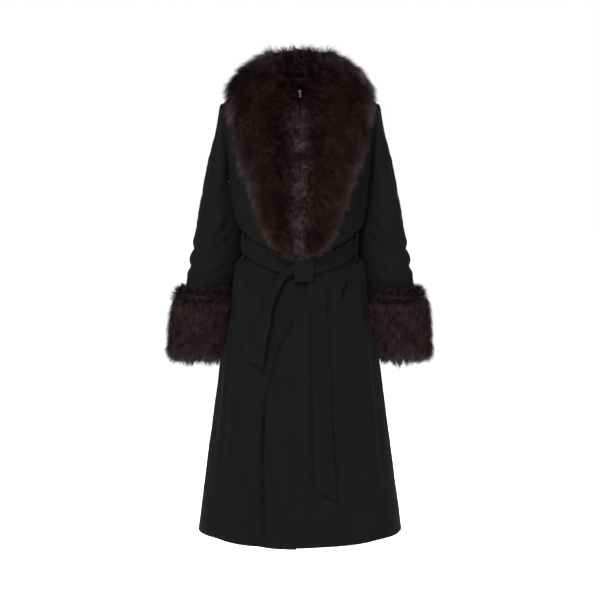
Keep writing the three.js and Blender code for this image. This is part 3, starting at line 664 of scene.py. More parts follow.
def softened(points: Array) -> Array:
    """The points with the corners of the shoulders rounded off."""
    x, y, z = points.T
    away = np.linalg.norm(np.stack([np.abs(x), SHOULDER_SPREAD * y, z], axis=-1) - SHOULDER_TIP, axis=-1)
    drop = SHOULDER_DROP * np.clip(1 - away / SHOULDER_REACH, 0, 1) ** 2
    across, down = SHOULDER_WAY
    inward = np.stack([-across * np.sign(x), 0 * drop, 0 * drop - down], axis=-1)
    return points + inward * drop[:, None]


# Meshes.


def grid_normals(grid: Array, closed: bool, sense: float) -> Array:
    """The outward directions at the points of a grid.

    Args:
        grid: Rows of points.
        closed: Whether the last column joins the first.
        sense: 1 where down times across points out, or -1.

    Returns:
        A direction for each point.
    """
    down = np.gradient(grid, axis=0)
    if closed:
        across = np.roll(grid, -1, axis=1) - np.roll(grid, 1, axis=1)
    else:
        across = np.gradient(grid, axis=1)
    return unit(np.cross(down, across) * sense)


def grid_faces(rows: int, columns: int, closed: bool, joined: bool = False) -> Array:
    """The four-sided faces of a grid, each down and then across.

    Args:
        rows: How many rows the grid has.
        columns: How many columns it has.
        closed: Whether the last column joins the first.
        joined: Whether the last row joins the first.

    Returns:
        The numbers of each face's four points.
    """
    spans = (np.arange(rows if joined else rows - 1), np.arange(columns if closed else columns - 1))
    i, j = (part.ravel() for part in np.meshgrid(*spans, indexing="ij"))
    k = (j + 1) % columns
    n = (i + 1) % rows
    return np.stack([i * columns + j, n * columns + j, n * columns + k, i * columns + k], axis=-1)


def volume_of(points: Array, faces: Array) -> float:
    """The signed volume inside four-sided faces, above zero where they point out."""
    a, b, c, d = (points[faces[:, k]] for k in range(4))
    first = np.einsum("ij,ij->i", a, np.cross(b, c)).sum()
    return float(first + np.einsum("ij,ij->i", a, np.cross(c, d)).sum())


def linked(name: str, data: ID) -> Object:
    """A new object in the scene."""
    piece = bpy.data.objects.new(name, data)
    bpy.context.scene.collection.objects.link(piece)
    return piece


def make_object(name: str, points: Array, faces: Array, uv: Array | None = None) -> Object:
    """A smooth mesh object in metres, with its faces pointing out.

    Args:
        name: The object's name.
        points: Its points in millimetres.
        faces: Its four-sided faces.
        uv: A place on the cloth for each point, in metres.

    Returns:
        The new object, linked to the scene.
    """
    if volume_of(points, faces) < 0:
        faces = faces[:, ::-1]
    mesh = bpy.data.meshes.new(name)
    mesh.from_pydata((points * MM).tolist(), [], faces.tolist())
    if uv is not None:
        layer = mesh.uv_layers.new(name="cloth")
        layer.data.foreach_set("uv", uv[faces.ravel()].astype(np.float32).ravel())
    mesh.polygons.foreach_set("use_smooth", np.ones(len(mesh.polygons), bool))
    mesh.update()
    return linked(name, mesh)


def cloth_places(grid: Array, closed: bool) -> Array:
    """Each point's place on the cloth in metres: across on the middle row, and down its column."""
    across = np.linalg.norm(np.diff(grid, axis=1), axis=-1).mean(axis=0)
    down = np.linalg.norm(np.diff(grid, axis=0), axis=-1).mean(axis=1)
    u = np.concatenate([[0], np.cumsum(across)])
    v = np.concatenate([[0], np.cumsum(down)])
    if closed:
        u = np.minimum(u, u[-1] - u)
    return np.stack(np.meshgrid(u, -v, indexing="xy"), axis=-1).reshape(-1, 2) * MM


def wall_object(name: str, grid: Array, normals: Array, closed: bool, thick: float) -> Object:
    """A wall of cloth with a rounded edge.

    Args:
        name: The object's name.
        grid: Rows of points of its outer face.
        normals: Their outward directions.
        closed: Whether the last column joins the first.
        thick: The cloth's thickness.

    Returns:
        The new object.
    """
    rows, columns = grid.shape[:2]
    outer = grid.reshape(-1, 3)
    ways = normals.reshape(-1, 3)
    inner = outer - ways * thick
    faces = grid_faces(rows, columns, closed)
    edges = np.concatenate([faces[:, [k, (k + 1) % 4]] for k in range(4)])
    known = {(int(a), int(b)) for a, b in edges}
    border = np.array([(a, b) for a, b in known if (b, a) not in known])
    outward = np.zeros_like(outer)
    along = unit(outer[border[:, 1]] - outer[border[:, 0]])
    for column in range(2):
        np.add.at(outward, border[:, column], np.cross(along, ways[border[:, column]]))
    rim = np.unique(border)
    middle = (outer[rim] + inner[rim]) / 2 + unit(outward[rim]) * thick * 0.42
    number = np.full(len(outer), -1)
    number[rim] = np.arange(len(rim)) + 2 * len(outer)
    under = len(outer)
    a = border[:, 0]
    b = border[:, 1]
    near = np.stack([b, a, number[a], number[b]], axis=-1)
    far = np.stack([number[b], number[a], a + under, b + under], axis=-1)
    points = np.concatenate([outer, inner, middle])
    places = cloth_places(grid, closed)
    uv = np.concatenate([places, places, places[rim]])
    return make_object(name, points, np.concatenate([faces, faces[:, ::-1] + under, near, far]), uv)


def sheet_size(grid: Array, closed: bool) -> tuple[float, float, float]:
    """The flat size of a piece of cloth in metres: its widest row, its longest column and its area."""
    ring = np.concatenate([grid, grid[:, :1]], axis=1) if closed else grid
    wide = np.linalg.norm(np.diff(ring, axis=1), axis=-1).sum(axis=1).max()
    long = np.linalg.norm(np.diff(grid, axis=0), axis=-1).sum(axis=0).max()
    a = ring[:-1, :-1]
    b = ring[1:, :-1]
    c = ring[1:, 1:]
    d = ring[:-1, 1:]
    area = np.linalg.norm(np.cross(b - a, c - a), axis=-1).sum() / 2
    area += np.linalg.norm(np.cross(c - a, d - a), axis=-1).sum() / 2
    return wide * MM, long * MM, float(area) * MM * MM


# Node trees.


class Nodes:
    """Adds nodes to a tree."""

    def __init__(self, tree: NodeTree) -> None:
        """Starts on a tree.

        Args:
            tree: The node tree, of a material, a world or Geometry Nodes.
        """
        self.tree = tree

    def add(self, kind: str, settings: dict | None = None, sockets: dict | None = None) -> Node:
        """Adds one node.

        Args:
            kind: The node's type.
            settings: The node's own settings, set first.
            sockets: A value or a link for each input socket, by its name or its number.

        Returns:
            The new node.
        """
        node = self.tree.nodes.new(kind)
        for name, value in (settings or {}).items():
            setattr(node, name, value)
        self.fill(node, sockets or {})
        return node

    def fill(self, node: Node, sockets: dict) -> None:
        """Gives input sockets their values or links.

        Args:
            node: The node.
            sockets: A value or a link for each input socket, by its name or its number.
        """
        for name, value in sockets.items():
            socket = self.socket(node, name)
            source = value.socket if isinstance(value, Value) else value
            if isinstance(source, NodeSocket):
                self.tree.links.new(source, socket)
            else:
                socket.default_value = source

    def socket(self, node: Node, name: str | int) -> NodeSocket:
        """An input socket in use, by its name, identifier or number."""
        if isinstance(name, int):
            return node.inputs[name]
        found = [s for s in node.inputs if s.identifier == name or (s.name == name and s.enabled)]
        return found[0]

    def value(self, kind: str, settings: dict | None = None, sockets: dict | None = None) -> "Value":
        """Adds a node and returns its first output as a value."""
        return Value(self, self.add(kind, settings, sockets).outputs[0])

    def attribute(self, name: str, data_type: str = "FLOAT") -> "Value":
        """A named attribute of the geometry."""
        return self.value("GeometryNodeInputNamedAttribute", {"data_type": data_type}, {"Name": name})

    def vector(self, operation: str, a: object, b: object) -> NodeSocket:
        """One step of vector maths on two vectors."""
        return self.add("ShaderNodeVectorMath", {"operation": operation}, {0: a, 1: b}).outputs[0]

    def scaled(self, a: object, share: object) -> NodeSocket:
        """A vector times a number."""
        return self.add("ShaderNodeVectorMath", {"operation": "SCALE"}, {0: a, "Scale": share}).outputs[0]

    def colour_mix(self, share: object, a: object, b: object) -> NodeSocket:
        """A blend of two colours, all b where the share is 1."""
        sockets = {"Factor_Float": share, "A_Color": a, "B_Color": b}
        return self.add("ShaderNodeMix", {"data_type": "RGBA"}, sockets).outputs[2]

    def noise(self, place: object, scale: float, detail: float, roughness: float = 0.5) -> "Value":
        """A smooth random number over space or cloth."""
        sockets = {"Vector": place, "Scale": scale, "Detail": detail, "Roughness": roughness}
        return self.value("ShaderNodeTexNoise", None, sockets)

    def instances(self, points: object, shape: object, turn: object, size: object) -> "Value":
        """A shape on every point, turned and scaled, as plain geometry."""
        sockets = {"Points": points, "Instance": shape, "Rotation": turn, "Scale": size}
        copies = self.value("GeometryNodeInstanceOnPoints", None, sockets)
        return self.value("GeometryNodeRealizeInstances", None, {"Geometry": copies})

    def result(self, geometry: object, material: object) -> None:
        """Makes geometry in a material the result of the tree."""
        sockets = {"Geometry": geometry, "Material": material}
        self.add("NodeGroupOutput", None, {0: self.value("GeometryNodeSetMaterial", None, sockets)})


def maths(operation: str, swapped: bool = False) -> Callable[["Value", object], "Value"]:
    """A method that takes a value and another term through one Math node.

    Args:
        operation: What the node does.
        swapped: Whether the other term comes first.

    Returns:
        The method.
    """

    def method(value: "Value", other: object) -> "Value":
        """The node's result."""
        return value.step(operation, *((other, value) if swapped else (value, other)))

    return method


class Value:
    """A number on a node's output, which takes part in Python expressions."""

    def __init__(self, nodes: Nodes, socket: NodeSocket) -> None:
        """Wraps a socket.

        Args:
            nodes: The builder of the tree that the socket is in.
            socket: The output socket.
        """
        self.nodes = nodes
        self.socket = socket

    def step(self, operation: str, *terms: object) -> "Value":
        """One Math node on the given terms."""
        return self.nodes.value("ShaderNodeMath", {"operation": operation}, dict(enumerate(terms)))

    __add__ = maths("ADD")
    __radd__ = __add__
    __sub__ = maths("SUBTRACT")
    __rsub__ = maths("SUBTRACT", True)
    __mul__ = maths("MULTIPLY")
    __rmul__ = __mul__
    __truediv__ = maths("DIVIDE")
    __rtruediv__ = maths("DIVIDE", True)
    __pow__ = maths("POWER")

    def held(self) -> "Value":
        """This between 0 and 1."""
        return self.nodes.value("ShaderNodeClamp", None, {0: self})

    def ramp(self, low: float, high: float) -> "Value":
        """A smooth rise from 0 at low to 1 at high."""
        sockets = {"Value": self, "From Min": low, "From Max": high}
        return self.nodes.value("ShaderNodeMapRange", {"interpolation_type": "SMOOTHSTEP"}, sockets)


def new_geometry_tree(name: str, sizes: dict[str, float | int | None]) -> NodeTree:
    """A Geometry Nodes tree with named inputs.

    Args:
        name: The tree's name.
        sizes: The usual value of each input by its name, or None for a material.

    Returns:
        The tree, which still needs its nodes.
    """
    tree = bpy.data.node_groups.new(name, "GeometryNodeTree")
    tree.interface.new_socket("Geometry", in_out="INPUT", socket_type="NodeSocketGeometry")
    for label, value in sizes.items():
        kind = {float: "Float", int: "Int"}.get(type(value), "Material")
        socket = tree.interface.new_socket(label, in_out="INPUT", socket_type=f"NodeSocket{kind}")
        if value is not None:
            socket.default_value = value
    tree.interface.new_socket("Geometry", in_out="OUTPUT", socket_type="NodeSocketGeometry")
    return tree


def grown(name: str, source: Object, tree: NodeTree, sizes: dict) -> Object:
    """A plain mesh made by a Geometry Nodes tree.

    Args:
        name: The new object's name.
        source: The object that the tree works on, left without the modifier.
        tree: The tree.
        sizes: The value of each named input.

    Returns:
        The new object.
    """
    modifier = source.modifiers.new("grow", "NODES")
    modifier.node_group = tree
    for item in tree.interface.items_tree:
        if item.in_out == "INPUT" and item.name in sizes:
            modifier[item.identifier] = sizes[item.name]
    source.data.update()
    graph = bpy.context.evaluated_depsgraph_get()
    mesh = bpy.data.meshes.new_from_object(source.evaluated_get(graph))
    source.modifiers.remove(modifier)
    mesh.name = name
    return linked(name, mesh)


def fur_tree() -> NodeTree:
    """The tree that grows fur on a pelt.

    The pelt carries flow, the way the fur lies, cover, the share of strands that grow at a point, and
    reach, the share of the fur's length. The strands draw together into tufts at their tips.

    Returns:
        The tree.
    """
    sizes = {
        "Strands": 400000.0,
        "Length": 0.03,
        "Width": 0.0009,
        "Lean": 0.55,
        "Tuft Size": 0.014,
        "Tuft Pull": 0.6,
        "Wave": 0.012,
        "Bow": 0.25,
        "Seed": 3,
        "Material": None,
    }
    tree = new_geometry_tree("fur strands", sizes)
    nodes = Nodes(tree)
    given = {output.name: Value(nodes, output) for output in nodes.add("NodeGroupInput").outputs}
    density = given["Strands"] * nodes.attribute("cover")
    pelt = nodes.add(
        "GeometryNodeDistributePointsOnFaces",
        {"distribute_method": "RANDOM"},
        {"Mesh": given["Geometry"], "Density": density, "Seed": given["Seed"]},
    )
    out = pelt.outputs["Normal"]
    flow = nodes.attribute("flow", "FLOAT_VECTOR").socket
    place = nodes.add("GeometryNodeInputPosition").outputs[0]

    def chance(low: float, high: float, offset: int) -> Value:
        """A random number for each strand."""
        sockets = {"Min_001": low, "Max_001": high, "Seed": given["Seed"] + offset}
        return Value(nodes, nodes.add("FunctionNodeRandomValue", {"data_type": "FLOAT"}, sockets).outputs[1])

    def scatter(size: float, offset: int) -> Value:
        """A random vector for each strand."""
        sockets = {"Min": (-size,) * 3, "Max": (size,) * 3, "Seed": given["Seed"] + offset}
        return nodes.value("FunctionNodeRandomValue", {"data_type": "FLOAT_VECTOR"}, sockets)

    lean = given["Lean"]
    rising = nodes.vector("ADD", nodes.scaled(out, 1 - lean), nodes.scaled(flow, lean))
    rising = nodes.vector("ADD", rising, scatter(0.2, 1))
    sideways = nodes.vector("CROSS_PRODUCT", rising, out)
    sideways = nodes.vector("ADD", nodes.vector("NORMALIZE", sideways, (0, 0, 0)), scatter(0.5, 2))
    turn = nodes.value(
        "FunctionNodeAxesToRotation",
        {"primary_axis": "Z", "secondary_axis": "X"},
        {"Primary Axis": rising, "Secondary Axis": sideways},
    )
    reach = nodes.attribute("reach") * given["Length"] * chance(0.55, 1.1, 3)
    width = given["Width"] * chance(0.6, 1.2, 4)
    size = nodes.value("ShaderNodeCombineXYZ", None, {"X": width, "Y": 1.0, "Z": reach})

    square = {"Size X": 1.0, "Size Y": 1.0, "Vertices X": 2, "Vertices Y": 4}
    blade = nodes.value("GeometryNodeMeshGrid", None, square)
    parts = nodes.add("ShaderNodeSeparateXYZ", None, {0: place})
    along = Value(nodes, parts.outputs["Y"]) + 0.5
    across = Value(nodes, parts.outputs["X"]) * (1 - along**2)
    shaped = nodes.value("ShaderNodeCombineXYZ", None, {"X": across, "Y": 0.0, "Z": along})
    kept = nodes.value(
        "GeometryNodeStoreNamedAttribute",
        {"data_type": "FLOAT", "domain": "POINT"},
        {"Geometry": blade, "Name": "along", "Value": along},
    )
    blade = nodes.value("GeometryNodeSetPosition", None, {"Geometry": kept, "Position": shaped})
    blade = nodes.value("GeometryNodeMergeByDistance", None, {"Geometry": blade, "Distance": 0.0005})

    points: object = pelt.outputs["Points"]
    for label, kind, value in (
        ("root", "FLOAT_VECTOR", place),
        ("up", "FLOAT_VECTOR", out),
        ("shade", "FLOAT", chance(0, 1, 5)),
        ("tuft", "FLOAT", nodes.noise(place, 26.0, 2.0)),
        ("size", "FLOAT", reach),
    ):
        points = nodes.value(
            "GeometryNodeStoreNamedAttribute",
            {"data_type": kind, "domain": "POINT"},
            {"Geometry": points, "Name": label, "Value": value},
        )
    hair = nodes.instances(points, blade, turn, size)

    root = nodes.attribute("root", "FLOAT_VECTOR")
    reached = nodes.attribute("along")
    sockets = {"Vector": root, "Scale": 1 / given["Tuft Size"]}
    cell = nodes.add("ShaderNodeTexVoronoi", {"feature": "F1"}, sockets)
    pull = nodes.vector("SUBTRACT", cell.outputs["Position"], root)
    pull = nodes.scaled(pull, reached**1.5 * given["Tuft Pull"])
    swirl = nodes.add("ShaderNodeTexNoise", None, {"Vector": root, "Scale": 38.0, "Detail": 1.0})
    wave = nodes.vector("SUBTRACT", swirl.outputs["Color"], (0.5, 0.5, 0.5))
    wave = nodes.scaled(wave, reached**1.4 * given["Wave"] * 2)
    bow = nodes.attribute("size") * given["Bow"] * reached**2
    sag = nodes.vector("ADD", nodes.attribute("up", "FLOAT_VECTOR"), (0.0, 0.0, 0.7))
    sag = nodes.scaled(sag, bow * -1)
    move = nodes.vector("ADD", nodes.vector("ADD", pull, wave), sag)
    hair = nodes.value("GeometryNodeSetPosition", None, {"Geometry": hair, "Offset": move})
    hair = nodes.value("GeometryNodeSetShadeSmooth", None, {"Geometry": hair, "Shade Smooth": True})
    nodes.result(hair, given["Material"])
    return tree


def stitch_tree() -> NodeTree:
    """The tree that lays stitches along a path, whose points carry out, the way out of the cloth."""
    sizes = {
        "Pitch": 0.004,
        "Stitch": 0.003,
        "Thread": 0.0006,
        "Material": None,
    }
    tree = new_geometry_tree("stitches", sizes)
    nodes = Nodes(tree)
    given = {output.name: Value(nodes, output) for output in nodes.add("NodeGroupInput").outputs}
    path = nodes.value("GeometryNodeMeshToCurve", None, {"Mesh": given["Geometry"]})
    sockets = {"Curve": path, "Length": given["Pitch"]}
    path = nodes.value("GeometryNodeResampleCurve", {"mode": "LENGTH"}, sockets)
    turn = nodes.value(
        "FunctionNodeAxesToRotation",
        {"primary_axis": "X", "secondary_axis": "Z"},
        {
            "Primary Axis": nodes.add("GeometryNodeInputTangent").outputs[0],
            "Secondary Axis": nodes.attribute("out", "FLOAT_VECTOR"),
        },
    )
    thread = given["Thread"]
    size = nodes.value("ShaderNodeCombineXYZ", None, {"X": given["Stitch"], "Y": thread, "Z": thread * 0.8})
    bead = nodes.value("GeometryNodeMeshIcoSphere", None, {"Radius": 0.5, "Subdivisions": 1})
    nodes.result(nodes.instances(path, bead, turn, size), given["Material"])
    return tree


# Finishes.


def linear(red: int, green: int, blue: int) -> tuple[float, float, float, float]:
    """A colour given as on a screen, from 0 to 255, as a shader takes it."""
    shares = [channel / 255 for channel in (red, green, blue)]
    light = [s / 12.92 if s <= 0.04045 else ((s + 0.055) / 1.055) ** 2.4 for s in shares]
    return (light[0], light[1], light[2], 1.0)


class Paint(Nodes):
    """A new material and the nodes in it."""

    def __init__(self, name: str) -> None:
        """Makes the material.

        Args:
            name: Its name.
        """
        self.material = bpy.data.materials.new(name)
        self.material.use_nodes = True
        super().__init__(self.material.node_tree)

    def place(self) -> NodeSocket:
        """The place on the object."""
        return self.add("ShaderNodeTexCoord").outputs["Object"]

    def own(self, name: str) -> Value:
        """A number that the mesh carries."""
        return Value(self, self.add("ShaderNodeAttribute", {"attribute_name": name}).outputs["Fac"])

    def bump(self, strength: float, distance: float, height: Value) -> Value:
        """The direction of a bumpy surface."""
        sockets = {"Strength": strength, "Distance": distance, "Height": height}
        return self.value("ShaderNodeBump", None, sockets)

    def finished(self, **sockets: object) -> Material:
        """The material, once the shader's input sockets are filled."""
        shader = self.tree.nodes["Principled BSDF"]
        self.fill(shader, {name.replace("_", " "): value for name, value in sockets.items()})
        return self.material


@dataclass(frozen=True)
class WoolFinish:
    """Felted wool coating with a short nap: matt, nearly black, a little uneven."""

    name: str = "wool"
    deep: Colour = (15, 15, 15)
    worn: Colour = (25, 25, 25)
    specular: float = 0.03
    sheen: float = 0.012
    bump: float = 0.35

    def material(self) -> Material:
        """The wool's material.

        Returns:
            The new material.
        """
        nodes = Paint(self.name)
        cloth = nodes.add("ShaderNodeUVMap", {"uv_map": "cloth"}).outputs[0]
        nap = nodes.value("ShaderNodeMapping", None, {"Vector": cloth, "Scale": (1.0, 0.35, 1.0)})
        streak = nodes.value("ShaderNodeMapping", None, {"Vector": cloth, "Scale": (1.0, 0.12, 1.0)})
        fibre = nodes.noise(nap, 1900.0, 3.0, 0.6)
        place = nodes.place()
        felt = nodes.noise(place, 420.0, 4.0, 0.65)
        cloud = nodes.noise(place, 14.0, 3.0, 0.55)
        brushed = nodes.noise(streak, 90.0, 2.0)
        tone = (felt * 0.45 + fibre * 0.3 + cloud * 0.35 + brushed * 0.2 - 0.22).held()
        return nodes.finished(
            Base_Color=nodes.colour_mix(tone, linear(*self.deep), linear(*self.worn)),
            Roughness=(0.86 + felt * 0.14).held(),
            Normal=nodes.bump(self.bump, 0.0008, fibre * 0.5 + felt * 0.9),
            Specular_IOR_Level=self.specular,
            Sheen_Weight=self.sheen,
            Sheen_Roughness=0.5,
        )


@dataclass(frozen=True)
class FurFinish:
    """Dark fur, lighter and greyer towards its tips, over a greyish undercoat, with paler fur painted into
    the collar's shaded inner hollow.
    """

    name: str = "fur"
    root: Colour = (9, 2, 4)
    mid: Colour = (25, 9, 12)
    tip: Colour = (60, 39, 39)
    pale: Colour = (118, 98, 92)
    grey: Colour = (112, 99, 101)
    under: Colour = (24, 14, 16)
    specular: float = 0.03

    def strands(self) -> Material:
        """The material of the strands, from their own attributes.

        Returns:
            The new material.
        """
        nodes = Paint(f"{self.name}_strands")
        along, shade, tuft, fair = (nodes.own(name) for name in ("along", "shade", "tuft", "fair"))
        colour = nodes.colour_mix(along.ramp(0.1, 0.8), linear(*self.root), linear(*self.mid))
        patch = tuft.ramp(0.42, 0.66)
        # Where the pelt's fair value is high the strands turn paler and greyer towards their tips: frosted
        # fur, and painted light on the collar's inner hollow at the back of the neck, which lies in shade.
        light = along.ramp(0.4, 1.0) * (0.08 + shade * 0.25 + patch * 0.45 + fair * 0.35)
        colour = nodes.colour_mix(light.held(), colour, linear(*self.tip))
        frost_and_painted_light = along.ramp(0.2, 0.9) * fair * (0.25 + shade * 0.6)
        colour = nodes.colour_mix(frost_and_painted_light.held(), colour, linear(*self.grey))
        bright = along.ramp(0.5, 1.0) * shade.ramp(0.86, 1.0) * (0.25 + patch * 0.5)
        colour = nodes.colour_mix(bright.held(), colour, linear(*self.pale))
        rough = 0.5 + shade * 0.2
        return nodes.finished(Base_Color=colour, Roughness=rough, Specular_IOR_Level=self.specular)

    def pelt(self) -> Material:
        """The material of the pelt beneath the strands.

        Returns:
            The new material.
        """
        nodes = Paint(f"{self.name}_pelt")
        place = nodes.place()
        down = nodes.noise(place, 60.0, 5.0, 0.7)
        wisp = nodes.noise(place, 700.0, 3.0)
        tone = (down * 0.8 + wisp * 0.4 - 0.3).held()
        colour = nodes.colour_mix(tone, linear(*self.root), linear(*self.under))
        # The fair value greys the pelt too: a frosted undercoat, and painted light in the collar's shaded
        # inner hollow.
        frost_and_painted_light = (nodes.own("fair") * (0.2 + down * 0.8)).held()
        return nodes.finished(
            Base_Color=nodes.colour_mix(frost_and_painted_light, colour, linear(*self.grey)),
            Roughness=(0.85 + wisp * 0.15).held(),
            Normal=nodes.bump(0.8, 0.002, down + wisp * 0.5),
            Specular_IOR_Level=0.05,
        )


@dataclass(frozen=True)
class WireFinish:
    """Nickelled steel wire, a little dulled."""

    name: str = "hook_wire"
    bright: Colour = (214, 210, 204)
    dull: Colour = (150, 146, 142)

    def material(self) -> Material:
        """The wire's material.

        Returns:
            The new material.
        """
        nodes = Paint(self.name)
        wear = nodes.noise(nodes.place(), 900.0, 3.0)
        colour = nodes.colour_mix(wear.ramp(0.4, 0.7), linear(*self.bright), linear(*self.dull))
        return nodes.finished(Base_Color=colour, Roughness=0.22 + wear * 0.2, Metallic=1.0)


@dataclass(frozen=True)
class ThreadFinish:
    """Twisted sewing thread in the cloth's colour."""

    name: str = "thread"
    colour: Colour = (30, 30, 31)

    def material(self) -> Material:
        """The thread's material.

        Returns:
            The new material.
        """
        nodes = Paint(self.name)
        twist = nodes.noise(nodes.place(), 2500.0, 2.0)
        dark = linear(*(int(c * 0.7) for c in self.colour))
        colour = nodes.colour_mix(twist, dark, linear(*self.colour))
        return nodes.finished(Base_Color=colour, Roughness=0.55 + twist * 0.2, Specular_IOR_Level=0.15)


class Finishes:
    """All the materials of the coat, each made once."""

    def __init__(self) -> None:
        """Makes the materials."""
        self.wool = WoolFinish().material()
        self.belt_wool = WoolFinish("wool_belt", (15, 15, 15), (24, 24, 24), bump=0.3).material()
        self.strands = FurFinish().strands()
        self.pelt = FurFinish().pelt()
        self.wire = WireFinish().material()
        self.thread = ThreadFinish().material()


def dress(piece: Object, material: Material, slot: str, *nodes: str) -> None:
    """Gives a piece its material and its body, and hides the parts that it stands for.

    Args:
        piece: The piece.
        material: Its material.
        slot: The record's material slot; not used.
        nodes: The nodes that it stands for.
    """
    piece.data.materials.clear()
    piece.data.materials.append(material)
    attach(piece, "root")
    if nodes:
        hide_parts(*nodes)
    LOG.info("%s: %d faces", piece.name, len(piece.data.polygons))


def declare(
    piece: Object,
    grid: Array,
    closed: bool,
) -> None:
    """Logs the flat size of a piece of cloth, cut to the size of its grid.

    Args:
        piece: The piece.
        grid: The points of its outer face.
        closed: Whether its last column joins its first.
    """
    wide, long, area = sheet_size(grid, closed)
    LOG.info("%s: flat %.3f by %.3f m, %.4f m2", piece.name, wide, long, area)


# The panels.


@dataclass
class Panels:
    """The back and the two fronts."""

    body: Body
    finishes: Finishes
    rows_above: int = 44
    rows_below: int = 108
    front_columns: tuple[int, int] = (26, 34)
    back_columns: tuple[int, int] = (30, 30)
    seam_shift: float = 0.2
    hem_drop: float = 4.5
    tuck: float = 4.0
    tuck_level: float = -412.0
    tuck_width: float = 11.0
    belt_level: float = -385.0
    belt_front: float = 112.0
    held_span: tuple[float, float] = (22.0, 36.0)

    def runs(self) -> Array:
        """The runs of the rows from the neckline to the hem."""
        above = np.linspace(0, 1, self.rows_above + 1)
        below = np.linspace(1, 2, self.rows_below + 1)[1:]
        return np.concatenate([above, below])

    def levels(self, grid: Array) -> Array:
        """The level of each point near the belt, before the belt's dip at the front."""
        facing = np.clip(-grid[..., 1] / self.belt_front, 0, 1)
        return grid[..., 2] + self.body.belt_dip * facing**2

    def tucked(self, grid: Array) -> Array:
        """How far the cloth is drawn in just below the belt."""
        return self.tuck * hump(self.levels(grid), self.tuck_level, self.tuck_width)

    def held(self, grid: Array) -> Array:
        """How much of a crease each point takes: little beneath the belt."""
        z = grid[..., 2]
        x = grid[..., 0]
        level = self.levels(grid)
        clear = smoothstep(np.abs(level - self.belt_level), *self.held_span)
        side = smoothstep(np.abs(x) - self.body.half(np.minimum(level, self.body.armpit)), -22, -6)
        under_arm = side * smoothstep(z, -560, -500)
        return clear * (1 - under_arm)

    def panel(self, name: str, angles: Array, shift: float, creases: Iterable[Crease], upper: bool) -> None:
        """Makes one panel.

        Args:
            name: Its name and its node's.
            angles: The angle of every point, in rows from the top.
            shift: How far it is moved back, to clear the seam.
            creases: Its creases.
            upper: Whether it is the upper front, which stands off the other.
        """
        run = np.broadcast_to(self.runs()[:, None], angles.shape)
        grid = self.body.point(angles, run)
        normals = self.body.normal(angles, run)
        if upper:
            grid = grid + normals * self.body.lap(grid[..., 0], grid[..., 2])[..., None]
        grid = grid + np.array([0, shift, 0])
        if name == "front_right":
            drop = self.hem_drop * smoothstep(angles, -60, 0) * smoothstep(run, 1.8, 2)
            grid = grid - drop[..., None] * np.array([0, 0, 1])
        grid = creased(grid, normals, creases, self.held(grid))
        grid = grid - normals * self.tucked(grid)[..., None]
        normals = grid_normals(grid, False, 1)
        piece = wall_object(f"{name}_cloth", grid, normals, False, CLOTH)
        dress(piece, self.finishes.wool, "wool", name)
        declare(piece, grid, False)

    def edge(self, column: Curve) -> Array:
        """The angle of a front edge on each row, from the curve of its x by its height."""
        runs = self.runs()

        def past(angle: Array) -> Array:
            """How far past the edge a point is."""
            point = self.body.point(angle, runs)
            return point[..., 0] - column(point[..., 2])

        return solved(past, np.zeros(len(runs)), -60, 60)

    def front_angles(self, edge: Array) -> Array:
        """The angles of a front from its edge to the side seam, on the wearer's left."""
        chest, side = self.front_columns
        t = np.linspace(0, 1, chest + 1)
        near = edge[:, None] + (self.body.neck_angle - edge[:, None]) * t[None]
        far = np.linspace(self.body.neck_angle, SIDE_SEAM, side + 1)[1:]
        return np.concatenate([near, np.broadcast_to(far, (len(edge), side))], axis=1)

    def back_angles(self) -> Array:
        """The angles of the back from the left side seam to the right one."""
        side, middle = self.back_columns
        turn = 180 - self.body.neck_angle
        left = np.linspace(BACK_START, turn, side + 1)
        centre = np.linspace(turn, 360 - turn, middle + 1)[1:-1]
        row = np.concatenate([left, centre, (360 - left)[::-1]])
        return np.broadcast_to(row, (len(self.runs()), len(row)))

    def build(self) -> None:
        """Makes the three panels."""
        self.panel("back", self.back_angles(), self.seam_shift, (*BACK_CREASES, *SIDE_CREASES), False)
        front = (*FRONT_CREASES, *SIDE_CREASES)
        left = self.front_angles(self.edge(self.body.upper))
        self.panel("front_left", left, -self.seam_shift, front, True)
        right = -self.front_angles(-self.edge(self.body.under))[:, ::-1]
        self.panel("front_right", right, -self.seam_shift, (*front, *EDGE_CREASES), False)


# The sleeves and their fur cuffs.


